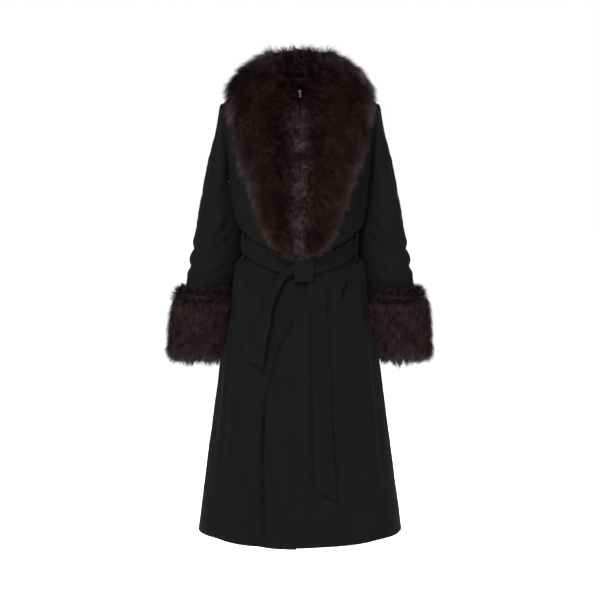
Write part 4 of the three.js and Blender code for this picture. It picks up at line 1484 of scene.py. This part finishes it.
@dataclass
class Sleeve:
    """One sleeve, which turns from the armhole's shape into an oval on its way down."""

    body: Body
    finishes: Finishes
    side: Side
    points: int = 60
    rows: int = 96
    end: float = 13.0
    shaped: float = 4.0
    seam_gap: float = 0.5
    inner_x: Row = (175, 172, 168, 164, 157, 143, 139, 140, 145, 153, 164, 174, 186, 192)
    inner_z: Row = (
        -226, -238, -249, -264, -300, -346, -383, -417, -452, -490, -545, -605, -655, -674,
    )
    outer_x: Row = (197, 202, 210, 223, 238, 252, 259, 266, 273, 279, 285, 291, 295, 296)
    outer_z: Row = (
        -59, -92, -137, -196, -270, -341, -380, -418, -455, -491, -548, -610, -658, -669,
    )
    middle: Row = (0.5, 1, 3, 6, 8, 12, 14, 17, 21, 27, 36, 43, 48, 50)
    deep: Row = (52, 56, 60, 63, 65, 65, 64, 63, 62, 61, 59, 58, 58, 58)
    behind: Row = (0, 0, 10, 24, 32, 36, 38, 38, 38, 36, 32, 24, 18, 16)

    def __post_init__(self) -> None:
        """Makes the curves through the rings and the armhole's edge."""
        keys = range(1, len(self.inner_x) + 1)
        self.columns = curves(
            keys, self.inner_x, self.inner_z, self.outer_x, self.outer_z, self.middle, self.deep, self.behind
        )
        self.round = np.arange(self.points) / self.points
        ahead = self.round <= 0.5
        angle = np.where(ahead, SIDE_SEAM, BACK_START)
        run = np.where(ahead, 2 * self.round, 2 - 2 * self.round)
        self.edge = self.body.point(angle, run)
        self.edge_normal = self.body.normal(angle, run)
        self.centre = (self.edge[0] + self.edge[self.points // 2]) / 2

    def oval(self, run: Array, round_: Array) -> Array:
        """A point of an oval ring: 0 round is the outer point and a quarter the front."""
        inner_x, inner_z, outer_x, outer_z, middle, deep, behind = (curve(run) for curve in self.columns)
        across = (1 + np.cos(2 * math.pi * round_)) / 2
        y = middle + behind * (0.5 - across) - deep * np.sin(2 * math.pi * round_)
        return np.stack([mixed(inner_x, outer_x, across), y, mixed(inner_z, outer_z, across)], axis=-1)

    def armhole_ring(self) -> Array:
        """The first ring, a seam's width beyond the edge of the panels."""
        ahead = np.roll(self.edge, -1, axis=0) - np.roll(self.edge, 1, axis=0)
        inward = unit(np.cross(ahead, self.edge_normal))
        towards = np.einsum("ij,ij->i", inward, self.centre - self.edge)
        inward = np.where(towards[:, None] < 0, -inward, inward)
        return self.edge + inward * self.seam_gap

    def grid(self) -> tuple[Array, Array]:
        """The sleeve's points and outward directions, before its creases."""
        run = 1 + np.linspace(0, 1, self.rows)[:, None] * (self.end - 1)
        oval = self.oval(run, self.round[None])
        centre = (self.oval(run, np.zeros_like(run)) + self.oval(run, np.full_like(run, 0.5))) / 2
        held = self.edge[None] - self.centre + centre
        rings = mixed(held, oval, smoothstep(run, 0, self.shaped)[..., None])
        first = self.armhole_ring()
        between = [mixed(first, rings[0], t) for t in (0, 0.33, 0.66)]
        points = np.concatenate([np.stack(between), rings])
        normals = grid_normals(points, True, -1)
        normals[0] = self.edge_normal
        return points, normals

    def build(self) -> None:
        """Makes the sleeve."""
        grid, normals = self.grid()
        inner = hump(self.round, 0.5, 0.13)[None]
        fade = smoothstep(np.arange(len(grid)), 2, 10)[:, None] * smoothstep(grid[..., 2], -540, -470)
        fade = fade * (1 - inner)
        grid = creased(grid, normals, SLEEVE_CREASES, fade)
        turned = grid_normals(grid, True, -1)
        turned[0] = normals[0]
        if self.side is Side.RIGHT:
            grid = mirrored(grid)
            turned = mirrored(turned)
        name = f"sleeve_{self.side.suffix}"
        piece = wall_object(f"{name}_cloth", grid, turned, True, CLOTH)
        dress(piece, self.finishes.wool, "wool", name)
        declare(piece, grid, True)


@dataclass
class Pelt:
    """The body of a piece of fur and how its strands grow."""

    points: Array
    faces: Array
    flow: Array
    cover: Array
    reach: Array
    fair: Array

    def grow(self, name: str, finishes: Finishes, tree: NodeTree, sizes: dict) -> None:
        """Makes the pelt and its fur.

        Args:
            name: The fur's node.
            finishes: The coat's materials.
            tree: The tree that grows the fur.
            sizes: The tree's inputs.
        """
        piece = make_object(f"{name}_pelt", self.points, self.faces)
        mesh = piece.data
        flow = mesh.attributes.new("flow", "FLOAT_VECTOR", "POINT")
        flow.data.foreach_set("vector", self.flow.astype(np.float32).ravel())
        for label, numbers in (("cover", self.cover), ("reach", self.reach), ("fair", self.fair)):
            layer = mesh.attributes.new(label, "FLOAT", "POINT")
            layer.data.foreach_set("value", numbers.astype(np.float32).ravel())
        fur = grown(f"{name}_fur", piece, tree, {**sizes, "Material": finishes.strands})
        for label in ("root", "up", "size", "flow", "reach", "cover"):
            for owner in (fur.data, mesh):
                if label in owner.attributes:
                    owner.attributes.remove(owner.attributes[label])
        dress(piece, finishes.pelt, "fur", name)
        dress(fur, finishes.strands, "fur")


@dataclass
class FurCuff:
    """A deep turned cuff of fur round the end of a sleeve."""

    sleeve: Sleeve
    finishes: Finishes
    start: float = 10.05
    stop: float = 13.9
    gap: float = 0.9
    outer: float = 44.0
    inner: float = 9.0
    across: float = 33.0
    corner: float = 0.42
    height: float = 0.5
    inset: float = 0.06
    fair_share: float = 0.9
    fair_least: float = 0.2
    points: int = 72
    rows: int = 30

    def surface(self, along: Array, round_: Array) -> tuple[Array, Array]:
        """The sleeve's surface under the cuff, and its outward direction."""
        run = mixed(self.start, self.stop, along)
        point = self.sleeve.oval(run, round_)
        down = self.sleeve.oval(run + 0.1, round_) - self.sleeve.oval(run - 0.1, round_)
        following = self.sleeve.oval(run, round_ + 0.01) - self.sleeve.oval(run, round_ - 0.01)
        return point, unit(np.cross(following, down))

    def fur(self, round_: Array, along: Array) -> Array:
        """How far the fur stands off the sleeve."""
        facing = np.cos(2 * math.pi * round_)
        sideways = np.where(facing > 0, self.outer, self.inner)
        reach = np.hypot(sideways * facing, self.across * np.sin(2 * math.pi * round_))
        rounded = (1 - np.abs(2 * along - 1) ** 4) ** 0.5
        return reach * mixed(self.corner, 1, rounded)

    def build(self, tree: NodeTree) -> None:
        """Makes the cuff's pelt and fur."""
        round_ = (np.arange(self.points) / self.points)[:, None]
        t = np.linspace(0, 1, self.rows)[None]
        along = mixed(self.inset, 1 - self.inset, t)
        base, way = self.surface(along, round_)
        below = base + way * self.gap
        fur = self.fur(round_, np.broadcast_to(t, (self.points, self.rows))) * self.height
        above = base + way * (self.gap + fur)[..., None]
        above = above + way * (1.6 * ripple(above, 26, 4))[..., None]
        loops = np.concatenate([below, above[:, ::-1]], axis=1)
        down, _ = self.surface(along + 0.02, round_)
        turned = mixed(-0.9, 1.0, smoothstep(t, 0.0, 0.12))
        flow = unit(down - base) * turned[..., None] + way * 0.1
        cover = np.concatenate([np.zeros(below.shape[:2]), np.ones(above.shape[:2])], axis=1)
        hidden = np.maximum(-np.cos(2 * math.pi * round_), 0)
        reach = (1 - 0.15 * hidden) * (1 - 0.5 * smoothstep(t, 0.8, 1.0))
        fair = smoothstep(t, 0.55, 1.0) * hump(t, 0.92, 0.3) + 0.1 * (1 - smoothstep(t, 0, 0.2))
        fair = np.broadcast_to(fair * self.fair_share + self.fair_least, (self.points, self.rows))
        flow, reach, fair = (np.concatenate([part, part[:, ::-1]], axis=1) for part in (flow, reach, fair))
        if self.sleeve.side is Side.RIGHT:
            loops = mirrored(loops)
            flow = mirrored(flow)
        faces = grid_faces(*loops.shape[:2], True, True)
        numbers = (cover.reshape(-1), reach.reshape(-1), fair.reshape(-1))
        pelt = Pelt(loops.reshape(-1, 3), faces, unit(flow).reshape(-1, 3), *numbers)
        sizes = {"Strands": 420000.0, "Length": 0.031, "Lean": 0.46, "Seed": 11 + self.sleeve.side.value}
        pelt.grow(f"cuff_{self.sleeve.side.suffix}", self.finishes, tree, sizes)


# The fur collar.


@dataclass(frozen=True)
class Station:
    """A place along the collar: its start and end on the body and how the fur stands there."""

    start: tuple[float, float]
    end: tuple[float, float]
    thick: float
    lift: float
    corner: bool = False


def station_rim(station: Station) -> float:
    """How near a station is to the front of the neck, from 0 to 1."""
    angle, run = station.start
    return float(np.exp(-((angle / 12) ** 2 + (run / 0.25) ** 2)))


@dataclass
class FurCollar:
    """Half of the shawl collar, from the back centre over the shoulder to its lower end."""

    body: Body
    finishes: Finishes
    side: Side
    shared: list[Station]
    gap: float = 3.0
    corner: float = 0.55
    stand_fall: float = 2.2
    full_stand: float = 50.0
    lean: float = 24.0
    meet: float = 8.0
    axis_y: float = -6.0
    under_steps: int = 8
    arch_steps: int = 12
    half_gap: float = 0.4
    evenings: int = 4
    height: float = 0.58
    height_more: float = 0.34
    rim: float = 0.4
    inset: float = 15.0
    finer: int = 3
    back_rows: Rows = (
        (180, 0.5, -122, 34, 92),
        (175.5, 36, -121, 34, 91),
        (171, 72, -117, 36, 87),
        (166, 108, -107, 39, 80),
        (161, 138, -90, 42, 70),
        (157, 159, -68, 44, 60),
        (154, 167, -51, 45, 55),
    )
    shoulder: tuple[float, float, float] = (171, 46, 50)
    neck_rows: Rows = (
        (25, 169.5, -52, 45, 45),
        (21, 168, -70, 44, 38),
        (15, 164, -98, 41, 30),
        (7.5, 157, -130, 38, 22),
        (0, 149, -160, 36, 18),
    )
    front_rows: Rows = (
        (-62, 140, -189, 34, 2),
        (-105, 128, -220, 34, 0),
        (-150, 115, -253, 34, 0),
        (-195, 104, -288, 33, 0),
        (-240, 92, -318, 32, 0),
        (-285, 79, -346, 31, 0),
        (-328, 65, -372, 29, 0),
        (-366, 47, -393, 26, 0),
        (-394, 24, -405, 19, 0),
    )

    def shoulder_station(self, front: bool) -> Station:
        """The station along the shoulder seam."""
        out_x, thick, lift = self.shoulder
        body = self.body
        along = (out_x - body.neck_half) / (body.tip[0] - body.neck_half)
        turns = (body.neck_angle, mixed(body.neck_angle, SIDE_SEAM, along))
        start, end = ((turn if front else 180 - turn, 0.0) for turn in turns)
        return Station(start, end, thick, lift)

    def placed(self, front: bool, x: Array, z: Array) -> list[tuple[float, float]]:
        """The angle and run of each point with these x and z."""
        angle, run = self.body.place(front, x, z)
        return [(float(a), float(r)) for a, r in zip(angle, run)]

    def neck_stations(self, front: bool, rows: Rows) -> list[Station]:
        """The stations that start on the neckline."""
        neck, out_x, out_z, thick, lift = np.array(rows).T
        ends = self.placed(front, out_x, out_z)
        starts = [(float(angle), 0.0) for angle in neck]
        return [Station(a, b, t, u, a[0] == 0) for a, b, t, u in zip(starts, ends, thick, lift)]

    def centre_stations(self) -> list[Station]:
        """The stations that start on the front centre line."""
        centre_z, out_x, out_z, thick, lift = np.array(self.front_rows).T
        starts = self.placed(True, np.full(len(centre_z), self.half_gap), centre_z)
        ends = self.placed(True, out_x, out_z)
        return [Station(a, b, t, u) for a, b, t, u in zip(starts, ends, thick, lift)]

    def doubled(self, stations: list[Station]) -> list[Station]:
        """The stations with one more halfway between each two."""
        result = [stations[0]]
        for here, following in zip(stations, stations[1:]):
            start, end = (
                tuple((a + b) / 2 for a, b in zip(getattr(here, key), getattr(following, key)))
                for key in ("start", "end")
            )
            thick = (here.thick + following.thick) / 2
            result.append(Station(start, end, thick, (here.lift + following.lift) / 2))
            result.append(following)
        return result

    def stations(self) -> list[Station]:
        """All the stations from the back centre to the lower end, which both halves share."""
        if not self.shared:
            back = self.neck_stations(False, self.back_rows) + [self.shoulder_station(False)]
            front = [self.shoulder_station(True)] + self.neck_stations(True, self.neck_rows)
            front += self.centre_stations()
            self.shared += self.doubled(back) + self.doubled(front)[1:]
        return self.shared

    def section(self, station: Station) -> Array:
        """One section of the pelt: its underside outwards, then its top back."""
        body = self.body
        ends = body.point(*(np.array(pair) for pair in zip(station.start, station.end)))
        wide = float(np.linalg.norm(ends[1] - ends[0]))
        kept = 1 - min(self.inset / wide, 0.4)

        def on(t: Array) -> tuple[Array, Array, Array]:
            """The cloth beneath the pelt, its direction, and how far off it the pelt lies."""
            angle = mixed(station.start[0], station.end[0], t * kept)
            run = mixed(station.start[1], station.end[1], t * kept)
            base = body.point(angle, run)
            return base, body.normal(angle, run), self.gap + body.lap(base[..., 0], base[..., 2])

        t = np.linspace(0, 1, self.under_steps + 1)
        base, way, rest = on(t)
        underside = base + way * rest[..., None]
        s = np.linspace(0, 1, self.arch_steps + 1)[1:-1]
        t = (1 + np.cos(math.pi * s)) / 2
        swell = np.sin(math.pi * s) ** self.corner
        base, way, rest = on(t)
        stand = min(station.lift / self.full_stand, 1)
        inward = unit(np.stack([-base[:, 0], (self.axis_y - base[:, 1]) * stand, 0 * t], axis=-1))
        near = (1 - t) ** self.stand_fall
        up = stand * (1 - smoothstep(t, 0, 0.6))
        rise = unit(mixed(way, np.array([0.0, 0.0, 1.0]), up[:, None]))
        rim = station_rim(station)
        thick = station.thick * (self.height + self.height_more * stand) * (1 + self.rim * rim)
        top = base + way * rest[:, None] + rise * (thick * swell)[:, None]
        top = top + inward * (mixed(self.meet, self.lean, stand) * swell * near)[:, None]
        top[:, 2] += station.lift * swell * near * (0.9 + 0.12 * stand)
        points = np.concatenate([underside, top])
        points[:, 0] = np.maximum(points[:, 0], self.half_gap)
        return points

    def evened(self, sections: Array, corners: list[bool]) -> Array:
        """The sections with the tops drawn towards those of the sections on either side."""
        before = np.concatenate([mirrored(sections[1:2]), sections[:-1]])
        after = np.concatenate([sections[1:], sections[-1:]])
        drawn = (before + after) / 4 + sections / 2
        fixed = np.array(corners)
        fixed[-1] = True
        result = np.where(fixed[:, None, None], sections, drawn)
        result[:, : self.under_steps + 1] = sections[:, : self.under_steps + 1]
        result[..., 0] = np.maximum(result[..., 0], self.half_gap)
        return result

    def finer_sections(self, sections: Array) -> Array:
        """The sections with more points, on smooth curves through the given ones."""
        count = len(sections)
        place = np.linspace(0, count - 1, (count - 1) * self.finer + 1)
        keys = np.arange(count)
        shape = (len(place), *sections.shape[1:])
        flat = sections.reshape(count, -1)
        rows = np.stack([Curve(keys, flat[:, k])(place) for k in range(flat.shape[1])], axis=-1)
        rows = rows.reshape(shape)
        loop = np.concatenate([rows[:, -2:], rows, rows[:, :3]], axis=1)
        keys = np.arange(loop.shape[1])
        place = 2 + np.arange(rows.shape[1] * self.finer) / self.finer
        across = loop.transpose(1, 0, 2).reshape(loop.shape[1], -1)
        columns = np.stack([Curve(keys, across[:, k])(place) for k in range(across.shape[1])], axis=-1)
        result = columns.reshape(len(place), len(rows), 3).transpose(1, 0, 2)
        result[..., 0] = np.maximum(result[..., 0], self.half_gap)
        return result

    def build(self, tree: NodeTree) -> None:
        """Makes the collar half's pelt and fur."""
        stations = self.stations()
        sections = np.stack([self.section(station) for station in stations])
        for _ in range(self.evenings):
            sections = self.evened(sections, [station.corner for station in stations])
        loops = self.finer_sections(sections)
        ways = grid_normals(loops, True, 1)
        centre = loops.mean(axis=1, keepdims=True)
        if np.einsum("ijk,ijk->ij", ways, loops - centre).mean() < 0:
            ways = -ways
        first = (self.under_steps + 1) * self.finer
        lumps = 2.0 * ripple(loops, 30, 2) + 1.0 * ripple(loops, 15, 8)
        lumps[:, : first - 2] = 0
        lumps *= smoothstep(loops[..., 0], 0.5, 12)
        loops = loops + ways * lumps[..., None]
        loops[..., 0] = np.maximum(loops[..., 0], self.half_gap)
        back = np.roll(loops, 1, axis=1) - loops
        flow = unit(back)
        down = np.array([0.0, 0.0, -0.35])
        flow = flow + down * smoothstep(-loops[..., 2], 20, 140)[..., None]
        parting = hump(loops[..., 0], 0, 13) * (loops[..., 1] < 0)
        flow[..., 0] *= 1 - 0.9 * parting
        flow = unit(flow)
        cover = np.ones(loops.shape[:2])
        cover[:, : first - self.finer * 3] = 0
        reach = 0.66 + 0.42 * smoothstep(loops[..., 0], 6, 60)
        place = np.arange(loops.shape[1])[None] / loops.shape[1]
        edge = hump(place, first / loops.shape[1], 0.09)
        fair = np.maximum(0.6 * edge, parting * smoothstep(-loops[..., 2], 30, 90))
        # Painted light: the inner face of the standing collar at the back of the neck lies in shade, so its
        # fur is painted paler and greyer here to look lit.
        painted_light_hollow = (place > 0.75) * smoothstep(loops[..., 1], -30, 10) * smoothstep(loops[..., 2], -10, 10)
        fair = np.maximum(fair, 0.4 * smoothstep(loops[..., 2], 10, 60) + 0.5 * painted_light_hollow)
        fair = fair * (0.75 + 0.35 * ripple(loops, 45, 12))
        if self.side is Side.RIGHT:
            loops = mirrored(loops)
            flow = mirrored(flow)
        points, faces = capped(loops)
        extra = len(points) - loops.shape[0] * loops.shape[1]
        flow = np.concatenate([flow.reshape(-1, 3), np.tile([[0.0, 0.0, -1.0]], (extra, 1))])
        cover = np.concatenate([cover.reshape(-1), np.zeros(extra)])
        reach = np.concatenate([reach.reshape(-1), np.ones(extra)])
        fair = np.concatenate([fair.reshape(-1), np.ones(extra)])
        sizes = {"Strands": 430000.0, "Length": 0.034, "Lean": 0.46, "Seed": 21 + self.side.value}
        Pelt(points, faces, flow, cover, reach, fair).grow(
            f"collar_{self.side.suffix}", self.finishes, tree, sizes
        )


def capped(loops: Array) -> tuple[Array, Array]:
    """The points and faces through loops, with each end closed round a middle point."""
    count = loops.shape[1]
    points = loops.reshape(-1, 3)
    faces = [grid_faces(loops.shape[0], count, True)]
    middles = []
    for row, turned in ((0, False), (loops.shape[0] - 1, True)):
        number = len(points) + len(middles)
        middles.append(loops[row].mean(axis=0))
        j = np.arange(0, count, 2)
        start = row * count
        fan = [start + (j + step) % count for step in range(3)]
        ring = np.stack([*fan, np.full(len(j), number)], axis=-1)
        faces.append(ring[:, ::-1] if turned else ring)
    return np.concatenate([points, np.stack(middles)]), np.concatenate(faces)


# The belt.


@dataclass
class Belt:
    """The belt: a band in the waist, the knot, two tails and two loops."""

    body: Body
    finishes: Finishes
    level: float = -385.0
    half: float = 22.0
    thick: float = 4.0
    gap: float = 1.3
    rows: int = 12
    columns: int = 240
    knot_left: float = -11.5
    knot_right: float = 28.5
    knot_top: float = -410.0
    knot_bottom: float = -475.0
    knot_hollow: float = 5.6
    knot_wall: float = 2.4
    knot_behind: float = 0.8
    tail_thick: float = 3.6
    loop_angle: float = 68.0
    loop_half: float = 5.5
    loop_thick: float = 1.8
    seam_in: float = 3.5
    short_tail: Rows = (
        (-8, -434, -8, -450, 13.1, 13.1),
        (-18, -434, -16, -451, 13, 14),
        (-38, -444, -33, -466, 11, 15),
        (-54, -468, -46, -490, 9, 18),
        (-69, -497, -57, -517, 8, 20),
        (-89, -539, -64, -557, 9, 21),
        (-103, -590, -71, -605, 9, 20),
        (-112, -632, -77, -642, 10, 18),
        (-118, -657, -82, -676, 10, 17),
    )
    long_tail: Rows = (
        (13, -460, 31, -460, 5.3, 5.3),
        (20, -482, 52, -484, 6, 7),
        (24, -520, 60, -522, 8, 9),
        (27, -605, 63, -608, 9, 9),
        (29, -690, 67, -694, 9, 9),
        (31, -775, 70, -781, 9, 9),
        (33, -864, 76, -874, 9, 9),
        (36, -955, 83, -979, 9, 9),
    )
    loop_rows: tuple[tuple[float, float], ...] = (
        (34, 2.4), (28, 5.6), (24, 8.4), (12, 8.4), (0, 8.4), (-12, 8.4), (-24, 8.4), (-28, 5.6),
        (-34, 2.4),
    )

    def band(self) -> tuple[Array, Array]:
        """The band's outer points and their directions."""
        rises = np.linspace(self.half, -self.half, self.rows)[:, None]
        angle = -SIDE_SEAM + 360 * np.arange(self.columns)[None] / self.columns
        run = self.body.run_of(self.level + rises) + 0 * angle
        angle = angle + 0 * rises
        point = self.body.point(angle, run)
        way = self.body.normal(angle, run)
        ahead = np.abs(self.body.turned(angle)) < SIDE_SEAM
        lap = np.where(ahead, self.body.lap(point[..., 0], point[..., 2]), 0)
        puff = 0.7 * (1 - (rises / self.half) ** 2) + 0.35 * ripple(point, 40, 6)
        grid = point + way * (self.gap + self.thick + lap + puff)[..., None]
        return grid, way

    def knot(self) -> Array:
        """The knot's outer points: a strap folded back on itself, open at its two sides."""
        half = (self.knot_top - self.knot_bottom) / 2
        deep = self.knot_wall + self.knot_hollow / 2
        behind = self.gap + self.thick + self.knot_behind
        across = np.linspace(0, 1, 22)[:, None]
        a = 2 * math.pi * np.arange(52)[None] / 52
        x = mixed(self.knot_left, self.knot_right, across) + 0 * a
        sine = np.sin(a) + 0 * across
        cosine = np.cos(a) + 0 * across
        z = (self.knot_top + self.knot_bottom) / 2 + half * np.sign(sine) * np.abs(sine) ** 0.5
        off = behind + deep * (1 + np.sign(cosine) * np.abs(cosine) ** 0.5)
        grid = self.body.off_front(x, z, off)
        fold = 1.1 * hump(across, 0.3, 0.1) + 0.8 * hump(across, 0.72, 0.09)
        way = grid_normals(grid, True, 1)
        front = np.clip(cosine, 0, 1) ** 0.5
        return grid - way * (fold * front * 0.9)[..., None]

    def tail(self, rows: Rows, seed: int) -> Array:
        """A tail's outer points.

        Args:
            rows: The places of its two edges and how far off the fronts they lie.
            seed: Which ripple runs down it.

        Returns:
            The grid of points, from the knot down.
        """
        line = smoothed_line(rows, 90)
        t = np.linspace(0, 1, 12)[None]
        left_x, left_z, right_x, right_z, left, right = (line[:, k : k + 1] for k in range(6))
        x = mixed(left_x, right_x, t)
        z = mixed(left_z, right_z, t)
        down = np.linspace(0, 1, len(line))[:, None]
        crown = 0.8 * np.sin(math.pi * t) * smoothstep(down, 0.1, 0.3)
        wave = 0.9 * np.sin(2 * math.pi * (down * 2.3 + 0.25 * t) + seed) * smoothstep(down, 0.2, 0.5)
        pinch = -1.6 * hump(t, 0.45, 0.16) * (1 - smoothstep(down, 0.08, 0.34))
        return self.body.off_front(x, z, mixed(left, right, t) + crown + wave + pinch)

    def seam(self, name: str, lines: Sequence[tuple[Array, Array]], tree: NodeTree) -> Object:
        """Stitches along lines on the cloth.

        Args:
            name: The piece's name.
            lines: Each line's points and outward directions.
            tree: The tree that lays stitches.

        Returns:
            The new piece.
        """
        points = np.concatenate([line + way * 0.05 for line, way in lines])
        ways = np.concatenate([way for _, way in lines])
        edges = []
        start = 0
        for line, _ in lines:
            edges += [(start + k, start + k + 1) for k in range(len(line) - 1)]
            start += len(line)
        mesh = bpy.data.meshes.new("path")
        mesh.from_pydata((points * MM).tolist(), edges, [])
        layer = mesh.attributes.new("out", "FLOAT_VECTOR", "POINT")
        layer.data.foreach_set("vector", ways.astype(np.float32).ravel())
        path = linked("path", mesh)
        piece = grown(name, path, tree, {"Material": self.finishes.thread})
        bpy.data.objects.remove(path)
        dress(piece, self.finishes.thread, "wool_belt")
        return piece

    def inset_lines(self, grid: Array, ways: Array) -> list[tuple[Array, Array]]:
        """Lines down a strip's two long edges, a seam's width in from each."""
        wide = np.linalg.norm(grid[:, -1] - grid[:, 0], axis=-1).mean()
        share = self.seam_in / wide * (grid.shape[1] - 1)
        low = int(share)
        part = share - low
        lines = []
        for a, b in ((low, low + 1), (-1 - low, -2 - low)):
            lines.append((mixed(grid[:, a], grid[:, b], part), ways[:, a]))
        return lines

    def build(self, tree: NodeTree) -> None:
        """Makes the band, the knot, the tails and the loops, with stitches along the band and the tails."""
        wool = self.finishes.belt_wool
        grid, ways = self.band()
        band = wall_object("belt_band_cloth", grid, grid_normals(grid, True, 1), True, self.thick)
        dress(band, wool, "wool_belt", "belt_band")
        share = self.seam_in / (2 * self.half) * (self.rows - 1)
        edges = []
        for a, b in ((0, 1), (-1, -2)):
            line = mixed(grid[a], grid[b], share)
            way = ways[a]
            edges.append((np.concatenate([line, line[:1]]), np.concatenate([way, way[:1]])))
        seam = self.seam("belt_band_stitches", edges, tree)
        declare(band, grid.transpose(1, 0, 2), False)
        grid = self.knot()
        knot = wall_object("belt_knot_cloth", grid, grid_normals(grid, True, 1), True, self.knot_wall)
        dress(knot, wool, "wool_belt", "belt_knot")
        declare(knot, grid, True)
        tails = (("belt_tail_right", self.short_tail, 1), ("belt_tail_left", self.long_tail, 4))
        for name, rows, seed in tails:
            grid = self.tail(rows, seed)
            ways = grid_normals(grid, False, 1)
            tail = wall_object(f"{name}_cloth", grid, ways, False, self.tail_thick)
            dress(tail, wool, "wool_belt", name)
            seam = self.seam(f"{name}_stitches", self.inset_lines(grid, ways), tree)
            declare(tail, grid, False)
        for side in Side:
            self.loop(side)

    def loop(self, side: Side) -> None:
        """Makes the narrow loop over the belt at one side."""
        line = smoothed_line(self.loop_rows, 40)
        half = math.degrees(self.loop_half / float(self.body.half(self.level)))
        turn = np.linspace(-half, half, 7)[None]
        run = self.body.run_of(self.level + line[:, :1]) + 0 * turn
        angle = self.loop_angle + turn + 0 * run
        crown = 0.4 * (1 - (turn / half) ** 2)
        grid = self.body.off(angle, run, line[:, 1:] + crown)
        ways = grid_normals(grid, False, 1)
        if side is Side.RIGHT:
            grid = mirrored(grid)
            ways = mirrored(ways)
        name = f"belt_loop_{side.suffix}"
        piece = wall_object(f"{name}_cloth", grid, ways, False, self.loop_thick)
        dress(piece, self.finishes.wool, "wool_belt", name)
        declare(piece, grid, False)


# The hook and eye.


@dataclass
class Fastener:
    """The hook and eye of bent wire at the neck, each in the place of its ring."""

    finishes: Finishes
    wire: float = 0.75
    ring: float = 3.0
    sides: int = 10

    def tube(self, name: str, lines: Sequence[Array]) -> Object:
        """Round wire along lines.

        Args:
            name: The piece's name.
            lines: The wires' middle lines, in millimetres.

        Returns:
            The new piece.
        """
        points = []
        faces = []
        start = 0
        for line in lines:
            ahead = unit(np.gradient(line, axis=0))
            side = unit(np.cross(ahead, np.array([0.0, 1.0, 0.0])))
            other = np.cross(ahead, side)
            a = 2 * math.pi * np.arange(self.sides) / self.sides
            loops = line[:, None] + self.wire * (
                side[:, None] * np.cos(a)[None, :, None] + other[:, None] * np.sin(a)[None, :, None]
            )
            solid, sheets = capped(loops)
            if volume_of(solid, sheets) < 0:
                sheets = sheets[:, ::-1]
            points.append(solid)
            faces.append(sheets + start)
            start += len(solid)
        return make_object(name, np.concatenate(points), np.concatenate(faces))

    def build(self) -> None:
        """Makes the hook and the eye."""
        for name in ("neck_hook", "neck_eye"):
            low, high = (np.array(corner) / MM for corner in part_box(name))
            middle = (low + high) / 2
            a = np.linspace(0, 1.94 * math.pi, 40)
            loop = middle + np.stack([self.ring * np.sin(a), 0 * a, self.ring * np.cos(a)], axis=-1)
            lines = [loop]
            if name == "neck_hook":
                t = np.linspace(0, 1, 26)
                bill = np.stack([0.15 + 0 * t, -1.4 * np.sin(math.pi * t) - 0.4, 2.4 - 6.4 * t], axis=-1)
                bill[:, 2] = np.where(t > 0.75, -2.4 + (t - 0.75) * 4, bill[:, 2])
                lines.append(middle + bill)
            piece = self.tube(f"{name}_wire", lines)
            dress(piece, self.finishes.wire, "hook_wire", name)


# The studio.


@dataclass
class Studio:
    """The pale floor, the soft lights and the camera."""

    target: tuple[float, float, float] = (0.0, 0.0, -0.527)
    distance: float = 3.6
    elevation: float = 5.5
    lens: float = 88.16
    floor_z: float = -1.45
    floor_reach: float = 20.0
    ambient: float = 0.12
    key: float = 125.0
    fill: float = 24.0
    rear: float = 130.0

    def light(self, name: str, place: tuple[float, float, float], size: float, power: float) -> None:
        """A square soft light that faces the coat.

        Args:
            name: Its name.
            place: Where it hangs, in metres.
            size: The length of its side.
            power: Its power in watts.
        """
        data = bpy.data.lights.new(name, "AREA")
        data.shape = "SQUARE"
        data.size = size
        data.energy = power
        lamp = linked(name, data)
        lamp.location = place
        away = np.array(place) - np.array(self.target)
        flat = math.hypot(away[0], away[1])
        lamp.rotation_euler = (math.atan2(flat, away[2]), 0.0, math.atan2(away[0], -away[1]))

    def build(self) -> None:
        """Makes the floor, the world, the lights and the camera."""
        reach = self.floor_reach
        corners = [(x * reach, y * reach, self.floor_z) for x, y in ((-1, -1), (1, -1), (1, 1), (-1, 1))]
        mesh = bpy.data.meshes.new("floor")
        mesh.from_pydata(corners, [], [(0, 1, 2, 3)])
        floor = linked("floor", mesh)
        material = Paint("floor").finished(
            Base_Color=(0.93, 0.93, 0.93, 1.0),
            Roughness=1.0,
            Specular_IOR_Level=0.0,
            Emission_Color=SCREEN_WHITE,
            Emission_Strength=1.0,
        )
        mesh.materials.append(material)

        world = bpy.data.worlds.new("studio")
        world.use_nodes = True
        sky = world.node_tree.nodes["Background"]
        nodes = Nodes(world.node_tree)
        seen = Value(nodes, nodes.add("ShaderNodeLightPath").outputs["Is Camera Ray"])
        strength = seen * (1.0 - self.ambient) + self.ambient
        nodes.fill(sky, {"Color": SCREEN_WHITE, "Strength": strength})
        bpy.context.scene.world = world
        self.light("key", (-0.7, -2.4, 2.3), 0.9, self.key)
        self.light("fill", (0.5, -3.4, -0.3), 1.2, self.fill)
        self.light("back", (0.8, 2.6, 1.4), 1.4, self.rear)

        data = bpy.data.cameras.new("camera")
        data.lens = self.lens
        data.sensor_width = 36.0
        camera = linked("camera", data)
        rise = math.radians(self.elevation)
        camera.location = (
            self.target[0],
            self.target[1] - self.distance * math.cos(rise),
            self.target[2] + self.distance * math.sin(rise),
        )
        camera.rotation_euler = (math.pi / 2 - rise, 0.0, 0.0)
        bpy.context.scene.camera = camera
        bpy.context.scene.view_settings.view_transform = "Standard"


def main() -> None:
    """Builds the coat and the studio, piece by piece."""
    logging.basicConfig(level=logging.INFO, format="%(name)s %(relativeCreated)d ms %(message)s")
    Studio().build()
    body = Body()
    finishes = Finishes()
    Panels(body, finishes).build()
    fur = fur_tree()
    stitches = stitch_tree()
    stations: list[Station] = []
    for side in Side:
        sleeve = Sleeve(body, finishes, side)
        sleeve.build()
        FurCuff(sleeve, finishes).build(fur)
        FurCollar(body, finishes, side, stations).build(fur)
    Belt(body, finishes).build(stitches)
    Fastener(finishes).build()


if __name__ == "__main__":
    main()
